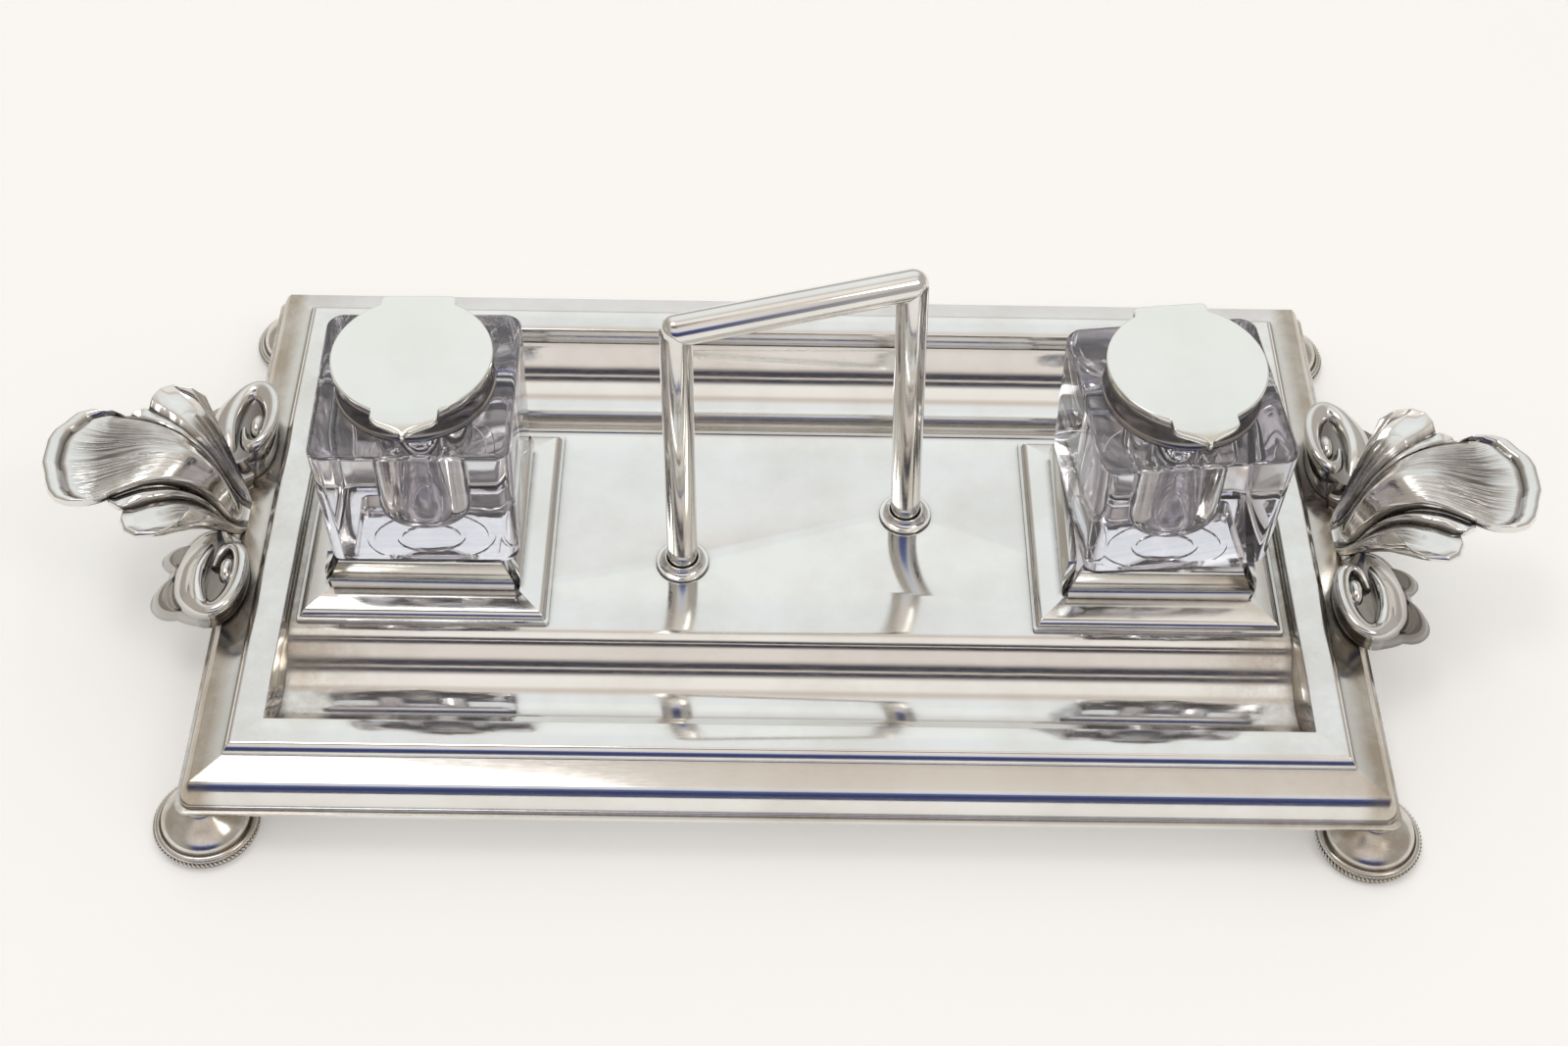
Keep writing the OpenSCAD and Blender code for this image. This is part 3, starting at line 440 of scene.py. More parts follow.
def leaf_rib(s, t, span):
    """Run and height along a rib: the midrib's arch in the middle, a plain rise at the sides."""
    here = through(VEIN, s * (len(VEIN) - 1))
    crest_run = VEIN[VEIN_CREST, 0] * LEAF_RUN
    crest_span = np.minimum(crest_run, 0.7 * span)
    run = here[..., 0] * LEAF_RUN
    middle = np.where(run <= crest_run, run * crest_span / crest_run,
                      crest_span + (span - crest_span) * (run - crest_run) / (LEAF_RUN - crest_run))
    w = np.abs(t) ** 1.6
    return np.stack([middle * (1 - w) + span * s * w,
                     LEAF_RISE * (here[..., 1] * (1 - w) + 0.86 * s ** 0.92 * w)], -1)


def bead(e, width):
    """Height of a half-round bead, at e from its edge."""
    return np.sqrt(np.clip(1 - (2 * e / width - 1) ** 2, 0, 1)) * (e < width)


def leaf_modelling(s, t, span):
    """The chased form over the plain leaf, and how dark and how finely lined the silver is there.
    The middle lobe swells near the root and dishes like a spoon towards the tip, inside a beaded
    rim. A small round lobe and a broad one lie beside it, with deep cuts between."""
    a = np.abs(t)
    in_middle = a < LOBE_EDGE
    across = np.minimum(a / LOBE_EDGE, 1)
    lobe_w = 3 + 12 * s
    t_to_mm = lobe_w / LOBE_EDGE
    rim_w = 0.5 + 2.7 * s
    from_edge = np.minimum((1 - across) * lobe_w, (1 - s) * span)
    spoon = smooth(0.5, 0.8, s)
    dish = smooth(0, 6, from_edge - rim_w)
    groove = np.exp(-((from_edge - rim_w - 0.15) / 0.42) ** 2)
    middle = (1.4 * (1 - across * across) * (1 - spoon) - 1.5 * dish * spoon
              + (0.35 + 0.75 * smooth(0.3, 0.8, s)) * bead(from_edge, rim_w) - 0.5 * groove)
    small = bead((a - LOBE_EDGE) / (SMALL_EDGE - LOBE_EDGE), 1) - 0.35
    broad_at = np.clip((a - SMALL_EDGE) / (1 - SMALL_EDGE), 0, 1)
    broad = 1.5 * (1 - (2 * broad_at - 0.75) ** 2) - 0.9 * smooth(0.4, 1, s) * (1 - (2 * broad_at - 1) ** 2)
    form = np.where(in_middle, middle, np.where(a < SMALL_EDGE, small, broad))
    cuts = sum(np.exp(-((a - at) * t_to_mm / 0.65) ** 2) for at in (LOBE_EDGE, SMALL_EDGE))
    form = form - 1.2 * np.minimum(cuts, 1)
    dark = np.clip(cuts + 0.9 * groove * in_middle, 0, 1)
    lined = (spoon * dish * in_middle * (1 - smooth(0.93, 0.99, s))
             + 0.7 * (a > SMALL_EDGE + 0.02) * smooth(0.12, 0.3, s) * (1 - smooth(0.45, 0.7, s)))
    return form * np.minimum(1, 5 * s), dark, lined


def leaf_surface(s, t, back):
    """Points of the leaf's modelled front or of its smooth back, with the front's dark and lined.
    s runs from the root to the tip, t across from -1 to 1."""
    root = np.stack([np.full_like(t, -ROOT_IN), ROOT_HALF * t], -1)
    reach = leaf_end(t) - root
    span = np.linalg.norm(reach, axis=-1)
    aim = reach / span[..., None]
    here = leaf_rib(s, t, span)
    step = leaf_rib(np.minimum(s + 0.01, 1), t, span) - leaf_rib(np.maximum(s - 0.01, 0), t, span)
    step /= np.linalg.norm(step, axis=-1)[..., None]
    thick = LEAF_T * (1 - 0.45 * np.maximum(s, np.abs(t)))
    form, dark, lined = leaf_modelling(s, t, span)
    edge = np.minimum((1 - s) * span, (1 - np.abs(t)) * (4 + 36 * s)) / (thick / 2)
    turn = 1 - np.sqrt(np.clip(1 - (1 - np.minimum(edge, 1)) ** 2, 0, 1))
    off = thick * (1 - turn / 2) if back else -form * (1 - turn) + turn * thick / 2
    plan = root + aim * (here[..., 0] + step[..., 1] * off)[..., None]
    z = here[..., 1] - step[..., 0] * off
    z = np.maximum(z, -np.minimum(plan[..., 0], 0) * SLOPE_FALL + SEAT_RISE)
    foot_x = np.full_like(t, -ROOT_OUT if back else -ROOT_IN)
    foot = np.stack([foot_x, ROOT_HALF * t, -foot_x * SLOPE_FALL], -1)
    return np.where((s == 0)[..., None], foot, np.concatenate([plan, z[..., None]], -1)), dark, lined


def to_end(points, side, y_side=1):
    """Points of an end casting, taken to their place on the stand, in metres."""
    out = points.copy()
    out[..., 1] = out[..., 1] * y_side + END_SHIFT[side]
    out[..., 0] += END_X
    if side == "left":
        out[..., 0] *= -1
    out[..., 2] += END_Z
    return out * MM


def spaced(count, ends):
    """Even shares from 0 to 1 with closer ones towards the end."""
    even = np.linspace(0, 1 - ends, count)
    return np.concatenate([even[:-1], 1 - ends * np.cos(np.linspace(0, np.pi / 2, 9))])


def carry(mesh, name, value):
    """Gives each point of a mesh a number that its material reads."""
    layer = mesh.attributes.new(name, "FLOAT", "POINT")
    layer.data.foreach_set("value", value.reshape(-1).astype(np.float32))


def leaf_casting(side):
    """One leaf: its front and back as one skin, with its ribs' directions for the chased lines."""
    s = np.concatenate([[0, 0.03], spaced(120, 0.03)[4:]])
    half = spaced(100, 0.02)
    t = np.concatenate([-half[:0:-1], half])
    s_grid, t_grid = np.meshgrid(s, t, indexing="ij")
    front, dark, lined = leaf_surface(s_grid, t_grid, False)
    back, _, _ = leaf_surface(s_grid, t_grid[:, ::-1], True)
    points = to_end(np.concatenate([front, back], axis=1), side)
    mesh = mesh_from(f"leaf_{side}_casting", points, grid_faces(*points.shape[:2], True))
    order = np.empty(len(mesh.loops), dtype=np.int32)
    mesh.loops.foreach_get("vertex_index", order)
    t_all = np.concatenate([t_grid, t_grid[:, ::-1]], axis=1).reshape(-1)
    s_all = np.concatenate([s_grid, s_grid], axis=1).reshape(-1)
    ribs = mesh.uv_layers.new(name="ribs")
    ribs.data.foreach_set("uv", np.stack([t_all[order], s_all[order]], -1).reshape(-1))
    plain = np.zeros_like(dark)
    carry(mesh, "tarnish_and_shade", np.concatenate([dark, plain], 1))
    carry(mesh, "lined", np.concatenate([lined, plain], 1))
    finish(mesh, f"end_leaf_{side}", sharp=70)


SCROLL_R, SCROLL_H, BAND, SCROLL_SQUASH, BAND_END = 14.8, 10.6, 5.4, 0.485, 0.76
SCROLL_AT, SCROLL_EYE, SCROLL_LEAN = (-0.6, 26.5), (-1.2, -1.0), (4.0, -4.0)
SCROLL_TURNS, SCROLL_START = 1.7, -115
LOOP_R, LOOP_FALL = 5.6, 2.0
FLARE, LEAFLETS = 6.4, ((-50, -10, 8.9), (-10, 50, 8.7))
# How much darker each side's scroll bands are made below their tops
FLANK_DARKENING = {"left": 0.42, "right": 0.8}


def scroll_line(u):
    """The middle of the scroll's band in plan, from its root round to its end in the eye."""
    angle = np.radians(SCROLL_START + 360 * SCROLL_TURNS * u)
    k = smooth(0.42, 0.75, u)
    r = (SCROLL_R - BAND / 2) * (1 - k) + (LOOP_R - LOOP_FALL * u) * k
    return np.stack([SCROLL_AT[0] + SCROLL_EYE[0] * k + (SCROLL_SQUASH + 0.12 * k) * r * np.cos(angle),
                     SCROLL_AT[1] + SCROLL_EYE[1] * k + r * np.sin(angle)], -1)


def scroll_flare(u):
    """How far the flank spreads at its foot, and how far its two leaflets reach."""
    angle = SCROLL_START + 360 * SCROLL_TURNS * u
    flank = np.where(u > 0.45, 0, FLARE * smooth(-110, -60, angle) * (1 - smooth(20, 80, angle)))
    leaflet = 0.8 * flank
    for start, end, reach in LEAFLETS:
        share = np.clip((angle - start) / (end - start), 0, 1)
        leaflet = np.maximum(leaflet, reach * np.sin(np.pi * share) ** 0.5 * (u < 0.45))
    return flank, leaflet


def slope_turn(points):
    """Turns points down the slope that the castings sit on."""
    angle = math.atan(SLOPE_FALL)
    x = points[..., 0] * math.cos(angle) + points[..., 2] * math.sin(angle)
    z = points[..., 2] * math.cos(angle) - points[..., 0] * math.sin(angle)
    return np.stack([x, points[..., 1], z], -1)


def scroll_ribbon():
    """The wound, tapering band, rounded on top, with its flank and leaflets on the outer side."""
    u = np.linspace(0, BAND_END, 240)
    line = scroll_line(u)
    ahead = scroll_line(u + 0.004) - scroll_line(u - 0.004)
    out = np.stack([ahead[:, 1], -ahead[:, 0]], -1) / np.linalg.norm(ahead, axis=-1)[:, None]
    w = BAND * (0.8 + 0.2 * smooth(0, 0.1, u)) * (1 - 0.62 * smooth(0.38, BAND_END, u))
    h = SCROLL_H * (0.35 + 0.65 * smooth(0, 0.18, u)) * (1 - 0.16 * smooth(0.45, BAND_END, u))
    flank, leaflet = scroll_flare(u)
    corners = [(-w / 2, 0 * h), (w / 2 + 0.97 * leaflet, 0 * h), (w / 2 + leaflet, h * 0.15),
               (w / 2 + 0.95 * leaflet, h * 0.34), (w / 2 + 0.82 * leaflet, h * 0.48),
               (w / 2 + 0.62 * leaflet, h * 0.55), (w / 2 + 0.5 * flank, h * 0.5), (w / 2 + 0.46 * flank, h * 0.63),
               (w / 2 + 0.33 * flank, h * 0.79), (w * 0.4 + 0.1 * flank, h * 0.93), (0.05 * w, h),
               (-w * 0.32, h * 0.92), (-w / 2, h * 0.72), (-w / 2, h * 0.4)]
    section = np.stack([np.stack(c, -1) for c in corners], 1)
    ring = np.concatenate([section, section[:, :1]], 1)
    rows = np.stack([through(r, np.linspace(0, len(corners), 37)[:-1]) for r in ring])
    rows[..., 1] = np.clip(rows[..., 1], 0, h[:, None])
    lean = 1 - rows[..., 1:2] / SCROLL_H
    plan = line[:, None] + out[:, None] * rows[..., :1] + np.array(SCROLL_LEAN) * lean
    return np.concatenate([plan, rows[..., 1:2]], -1)


def turned_dome(at, radii, low, high, dish=0.0):
    """A closed round form with an upright side, under a domed top or a dished one."""
    if dish:
        inwards = np.linspace(1, 0, 16)[1:]
        shares = np.concatenate([[0, 1, 1], inwards])
        heights = np.concatenate([[low, low, high], high - dish * (1 - inwards ** 2)])
    else:
        rise = np.linspace(0, np.pi / 2, 16)[1:]
        shares = np.concatenate([[0, 1], np.cos(rise)])
        heights = low + (high - low) * np.concatenate([[0, 0.3], 0.3 + 0.7 * np.sin(rise)])
    angle = np.linspace(0, 2 * np.pi, 64, endpoint=False)
    x = at[0] + radii[0] * shares[:, None] * np.cos(angle)
    y = at[1] + radii[1] * shares[:, None] * np.sin(angle)
    return np.stack([x, y, np.broadcast_to(heights[:, None], x.shape)], -1)


def scroll_casting(side, place):
    """One scroll: the band, the dished floor inside it and the boss in its eye, with painted shade where it is
    sheltered.
    """
    floor_r = SCROLL_R - BAND / 2
    middle = (SCROLL_AT[0] + 0.65 * SCROLL_LEAN[0], SCROLL_AT[1] + 0.65 * SCROLL_LEAN[1])
    eye = (SCROLL_AT[0] + SCROLL_EYE[0] - 0.3, SCROLL_AT[1] + SCROLL_EYE[1] - 0.4)
    points, faces = joined([
        scroll_ribbon(),
        turned_dome(middle, (SCROLL_SQUASH * floor_r, floor_r), 0.0, 8.0, dish=0.9),
        turned_dome(eye, (2.3, 4.4), 5.0, 10.0),
    ])
    placed = to_end(slope_turn(points), side, -1 if place == "front" else 1)
    mesh = mesh_from(f"scroll_{side}_{place}_casting", placed, faces)
    x, y, z = points.T
    aside = np.hypot(x - SCROLL_AT[0] - 2, (y - SCROLL_AT[1]) * 0.53)
    on_band = aside > 7
    # Painted shade on the floor and boss inside the band; the crease above the leaflets and the band below its top are
    # made darker too
    inside = (aside < 7) * smooth(9.4, 7.8, z)
    gullet = np.exp(-((z - 0.52 * SCROLL_H) / 0.45) ** 2) * on_band
    flank = (0.1 + FLANK_DARKENING[side] * smooth(0.96, 0.66, z / SCROLL_H)) * on_band
    carry(mesh, "tarnish_and_shade", np.clip(np.maximum(0.75 * inside + 0.65 * gullet, flank), 0, 0.9))
    finish(mesh, f"scroll_{side}_{place}", sharp=60)


# Bottles, collars and lids, in a frame whose origin is the middle of the bottle's shoulder,
# y to the back, in millimetres

BOTTLE_AT = {"left": (-95.0, 0.0, 1.1), "right": (97.0, 0.9, 6.6)}
SHOULDER_Z = 74.1
BODY_H, BOSS_H, BOSS_HALF, FOOT_HALF, TOP_HALF = 41.3, 4.0, 18.5, 24.2, 25.0
BOSS_CORNER, FOOT_CORNER, TOP_CORNER = 2.5, 4.0, 4.2
NECK_R, NECK_H, WELL_R, WELL_DEEP, WELL_ROUND = 16.5, 7.3, 12.0, 37.5, 6.5
COLLAR_H, LID_R, LID_TOP = 8.4, 20.0, 10.4
SLOT_HALF, SLOT_FROM, SLOT_FLOOR = 5.1, 17.1, 6.8
HINGE_Y, HINGE_Z, HINGE_HALF, LID_KNUCKLE, KNUCKLE_R = 19.1, 8.8, 9.2, 4.5, 1.15


def to_bottle(points, side):
    """Points of a bottle, its collar or its lid, taken to their place on the stand, in metres."""
    cx, cy, turn = BOTTLE_AT[side]
    c, s = math.cos(math.radians(turn)), math.sin(math.radians(turn))
    x, y, z = points[..., 0], points[..., 1], points[..., 2]
    return np.stack([cx + x * c - y * s, cy + x * s + y * c, z + SHOULDER_Z], -1) * MM


def square_ring(half, corner, side_points=18, corner_points=16):
    """A square with rounded corners, anticlockwise."""
    ring = []
    for k in range(4):
        turn = np.pi / 2 * k
        along = np.linspace(-(half - corner), half - corner, side_points, endpoint=False)
        angle = np.linspace(0, np.pi / 2, corner_points, endpoint=False)
        x = np.concatenate([np.full(side_points, half), half - corner + corner * np.cos(angle)])
        y = np.concatenate([along, half - corner + corner * np.sin(angle)])
        ring.append(np.stack([x * np.cos(turn) - y * np.sin(turn), x * np.sin(turn) + y * np.cos(turn)], -1))
    return np.concatenate(ring)


def glass_bottle(side):
    """Square body with soft edges, round neck, ground rings below and a round-bottomed well."""
    sections = []

    def square(half, corner, z):
        sections.append((square_ring(half, corner), z))

    def circle(r, z):
        way = square_ring(TOP_HALF, TOP_CORNER)
        sections.append((way / np.linalg.norm(way, axis=-1)[:, None] * r, z))

    base = -BODY_H - BOSS_H
    for r, z in ((0, 0), (7.5, 0), (7.7, 0.5), (8.8, 0.5), (9, 0), (14.8, 0), (15, 0.4), (16.6, 0.4), (16.8, 0)):
        circle(r, base + z)
    for half, z in ((BOSS_HALF - 0.4, base), (BOSS_HALF - 0.1, base + 0.1), (BOSS_HALF, base + 0.4),
                    (BOSS_HALF, -BODY_H - 0.3), (BOSS_HALF + 0.3, -BODY_H)):
        square(half, BOSS_CORNER, z)
    for inset, up in ((0.9, 0), (0.45, 0.1), (0.13, 0.4), (0, 0.9)):
        square(FOOT_HALF - inset, FOOT_CORNER, -BODY_H + up)
    square(TOP_HALF, TOP_CORNER, -1.3)
    for inset, down in ((0.08, 0.8), (0.4, 0.3), (0.85, 0.08), (1.4, 0)):
        square(TOP_HALF - inset, TOP_CORNER, -down)
    for r, z in ((NECK_R + 0.6, 0), (NECK_R + 0.15, 0.12), (NECK_R, 0.5)):
        circle(r, z)
    for r, down in ((NECK_R, 0.5), (NECK_R - 0.15, 0.12), (NECK_R - 0.5, 0), (WELL_R + 0.6, 0),
                    (WELL_R + 0.15, 0.15), (WELL_R, 0.6)):
        circle(r, NECK_H - down)
    for z in np.linspace(2, WELL_ROUND - WELL_DEEP, 8):
        circle(WELL_R, z)
    for a in np.radians(np.linspace(8, 86, 12)):
        circle(WELL_R - WELL_ROUND * (1 - math.cos(a)), WELL_ROUND - WELL_DEEP - WELL_ROUND * math.sin(a))
    for r in (4, 2, 0):
        circle(r, -WELL_DEEP)
    points = np.stack([np.concatenate([ring, np.full((len(ring), 1), z)], -1) for ring, z in sections])
    mesh = mesh_from(f"bottle_{side}_glass", to_bottle(points, side), grid_faces(*points.shape[:2], True))
    finish(mesh, f"bottle_{side}", sharp=32)


def turned(profile, sides=192):
    """A profile of (radius, height) turned about the z axis."""
    angle = np.linspace(0, 2 * np.pi, sides, endpoint=False)
    r, z = np.array(profile, float).T
    return np.stack([r[:, None] * np.cos(angle), r[:, None] * np.sin(angle),
                     np.broadcast_to(z[:, None], (len(r), sides))], -1)


def bar_of(section, x0, x1):
    """A (y, z) section drawn out along x, with closed ends."""
    ring = np.array(section, float)
    middle = np.broadcast_to(ring.mean(0), ring.shape)
    rows = [(x0, middle), (x0, ring), (x1, ring), (x1, middle)]
    return np.stack([np.concatenate([np.full((len(r), 1), x), r], -1) for x, r in rows])


def arc(y, z, r, start, end):
    """Points round part of a circle, between two angles in degrees."""
    angle = np.radians(np.linspace(start, end, 16))
    return [(y + r * math.cos(a), z + r * math.sin(a)) for a in angle]


def collar(side):
    """Turned collar with a foot ring, a hollow waist and a lip, and two knuckles at the back with a
    slot between them for the lid's."""
    outside = [(16.6, 0), (19.7, 0), (20.0, 0.15), (20.0, 0.75), (19.7, 1.1), (19.45, 1.6), (19.25, 2.6), (19.2, 4.2),
               (19.3, 5.6), (19.55, 6.3), (19.8, 6.8), (19.8, 8.05), (19.65, 8.32), (19.4, 8.4), (14.2, 8.4),
               (14.0, 8.2), (14.0, 7.4), (16.6, 7.4), (16.6, 0)]
    ring = turned(outside)
    in_slot = (np.abs(ring[..., 0]) < SLOT_HALF) & (ring[..., 1] > SLOT_FROM)
    ring[..., 2] = np.where(in_slot, np.minimum(ring[..., 2], SLOT_FLOOR), ring[..., 2])
    ear = arc(HINGE_Y, HINGE_Z, KNUCKLE_R, -40, 180) + [(17.9, 8.3), (17.6, 6.9), (19.3, 6.9)]
    inner = LID_KNUCKLE + 0.15
    points, faces = joined([ring, bar_of(ear, inner, HINGE_HALF), bar_of(ear, -HINGE_HALF, -inner)])
    finish(mesh_from(f"collar_{side}_turned", to_bottle(points, side), faces), f"collar_{side}", sharp=40)


def lid_outline():
    """Round lid with an ogee thumbpiece in front and a straight tab over the hinge, from the tip round."""
    u = np.linspace(1, 0, 22)
    thumb = np.stack([0.35 + 7.8 * (0.5 + 0.5 * np.cos(np.pi * u)), -21.0 - 5.2 * u ** 1.15], -1)
    start, end = math.atan2(-18.2, 8.3), math.atan2(17.6, 9.5)
    round_edge = np.linspace(start, end, 80)
    side = np.stack([LID_R * np.cos(round_edge), LID_R * np.sin(round_edge)], -1)
    tab = [(9.3, 18.3), (9.35, 19.2), (9.2, 20.0), (8.7, 20.5), (8.0, 20.65), (6, 20.68), (4, 20.7), (2, 20.7)]
    half = np.concatenate([thumb, [(8.15, -20.2), (8.12, -19.3)], side, tab])
    return np.concatenate([[(0, -26.25)], half, [(0, 20.7)], half[::-1] * (-1, 1)])


def lid(side):
    """One plate, flush from the thumbpiece to the tab, with the plug ring and its knuckle below."""
    rim = lid_outline()
    r = np.linalg.norm(rim, axis=-1)
    way = rim / r[:, None]
    over_hinge = (rim[:, 1] > 17) & (np.abs(rim[:, 0]) < 10)
    step_at = np.where(over_hinge, 17.15 / np.maximum(way[:, 1], 0.1), 0.9 * r)
    under = np.where(over_hinge, LID_TOP - 0.4, COLLAR_H)
    flat, top = np.full_like(r, COLLAR_H), np.full_like(r, LID_TOP)
    stations = [(0 * r, flat), (step_at, flat), (step_at, under), (r - 0.25, under), (r - 0.04, under + 0.1),
                (r, np.minimum(under + 0.35, LID_TOP - 0.3)), (r, top - 0.3), (r - 0.05, top - 0.14),
                (r - 0.16, top - 0.04), (r - 0.34, top)]
    stations += [(r * k, top) for k in (0.96, 0.93, 0.9, 0.86, 0.82, 0.78, 0.74, 0.7, 0.4, 0)]
    plate = np.stack([np.concatenate([way * k[:, None], z[:, None]], -1) for k, z in stations])
    past = np.maximum(-19.0 - plate[..., 1], 0)
    plate[..., 2] -= 0.02 * past ** 2
    plug = turned([(10.2, 6.2), (10.4, 6.0), (11.2, 6.0), (11.4, 6.2), (11.4, 8.6), (10.2, 8.6), (10.2, 6.2)], 96)
    knuckle = bar_of(arc(HINGE_Y, HINGE_Z, KNUCKLE_R, 180, 360) + [(20.25, 10.2), (17.95, 10.2)],
                     -LID_KNUCKLE, LID_KNUCKLE)
    points, faces = joined([plate, plug, knuckle])
    finish(mesh_from(f"lid_{side}_plate", to_bottle(points, side), faces), f"lid_{side}", sharp=40)


# Mouldings of the tray's border and of the galleries

TRAY_HALF_L, TRAY_HALF_W, TRAY_CORNER, FLANGE_Z, DECK_Z = 151.4, 89.0, 4.5, 14.2, 17.7
GALLERY_X, GALLERY_HALF, RAIL_FOOT, RAIL_IN = 96.0, 32.8, 24.95, 22.0
BORDERS = (
    ("border_front", TRAY_HALF_L, TRAY_HALF_W, 0), ("border_back", TRAY_HALF_L, TRAY_HALF_W, 180),
    ("border_left", TRAY_HALF_W, TRAY_HALF_L, -90), ("border_right", TRAY_HALF_W, TRAY_HALF_L, 90),
)


def ovolo(x0, z0, x1, z1, full=0.5):
    """A rounding from a foot to a top: full 1 starts upright and ends flat, 0 is straight."""
    a = np.linspace(0, np.pi / 2, 14)
    across = full * (1 - np.cos(a)) + (1 - full) * a * 2 / np.pi
    up = full * np.sin(a) + (1 - full) * a * 2 / np.pi
    return list(zip(x0 + (x1 - x0) * across, z0 + (z1 - z0) * up))


def border_section():
    """Inset from the flange's edge and height above it: fillet, ovolo, slope, bead and flat, and back below."""
    return ([(1, 0), (1, 0.85), (1.15, 1.02), (1.45, 1.05)] + ovolo(1.45, 1.15, 4.5, 7.25) + [(4.9, 7.33), (11.5, 8.36)]
            + ovolo(11.62, 8.5, 13.5, 11.05) + [(13.9, 11.1), (20.65, 11.1), (20.85, 11.0), (20.9, 10.8), (20.9, 5.4),
                                                 (19.5, 5.4), (19.5, 9.7), (12.9, 9.7), (11.9, 7.0), (5.3, 6.0),
                                                 (2.7, 1), (2.4, 0)])


def border(place, half, edge, turn):
    """One mitred length, softly rounded at its outer corners."""
    section = border_section()
    rows = []
    for inset, height in section + section[:1]:
        r = max(TRAY_CORNER - inset, 0.25)
        a = np.radians(np.linspace(0, 45, 7))
        x = half - inset - r + r * np.sin(a)
        y = -(edge - inset - r + r * np.cos(a))
        x, y = np.concatenate([-x[::-1], x]), np.concatenate([y[::-1], y])
        rows.append(np.stack([x, y, np.full_like(x, FLANGE_Z + height)], -1))
    points = np.stack(rows)
    c, s = round(math.cos(math.radians(turn))), round(math.sin(math.radians(turn)))
    points = np.stack([points[..., 0] * c - points[..., 1] * s, points[..., 0] * s + points[..., 1] * c,
                       points[..., 2]], -1)
    finish(mesh_from(place + "_moulding", points * MM, grid_faces(*points.shape[:2], False)), place, sharp=28)


def gallery(side):
    """The square moulding round a bottle's place."""
    section = ([(GALLERY_HALF, 0), (GALLERY_HALF, 0.85), (GALLERY_HALF - 0.12, 1), (GALLERY_HALF - 0.85, 1.02)]
               + [(GALLERY_HALF - x, z) for x, z in ovolo(0.95, 1.1, 2.7, 3.1, 0.75)]
               + [(RAIL_FOOT + 0.2, 4.58), (RAIL_IN + 0.2, 4.6), (RAIL_IN, 4.4), (RAIL_IN, 0), (GALLERY_HALF, 0)])
    rows = []
    for half, height in section:
        ring = square_ring(half, max(0.9 - (GALLERY_HALF - half) * 0.3, 0.15), 6, 6)
        rows.append(np.concatenate([ring, np.full((len(ring), 1), DECK_Z + height)], -1))
    points = np.stack(rows)
    points[..., 0] += GALLERY_X if side == "right" else -GALLERY_X
    mesh = mesh_from(f"gallery_{side}_moulding", points * MM, grid_faces(*points.shape[:2], True))
    finish(mesh, f"gallery_{side}", sharp=28)


# Feet

FOOT_AT = [(x * 146.0, y * 83.6) for x in (-1, 1) for y in (-1, 1)]
ROPE_R, ROPE_Z, ROPE_TEETH, ROPE_SLANT = 13.1, 2.1, 76, 0.5
TOOTH_W, TOOTH_H = 0.42, 1.0


def turned_foot(place, x, y):
    """A bell-shaped foot with an incised ring above its rim."""
    share = np.linspace(0, 1, 18)
    bell = [(4.3 + 6.85 * (0.5 - 0.5 * math.cos(math.pi * u)), 10.8 - 6.7 * u ** 1.3) for u in share]
    profile = [(1.35, 13), (4.8, 13), (5.0, 12.8), (5.0, 12.3), (4.7, 11.9), (4.35, 11.5)] + bell + [
        (11.25, 3.85), (11.4, 3.65), (11.55, 3.8), (11.8, 3.9), (12.3, 3.75), (12.7, 3.45), (12.9, 3.1),
        (12.95, 2.8), (12.95, 1.3), (12.9, 1.0), (12.8, 0.5), (12.6, 0.1), (12.3, 0), (10.8, 0), (10.8, 1.8),
        (1.35, 1.8), (1.35, 13)]
    points = turned(profile, 128) + (x, y, 0)
    finish(mesh_from(place + "_turned", points * MM, grid_faces(*points.shape[:2], True)), place, sharp=40)


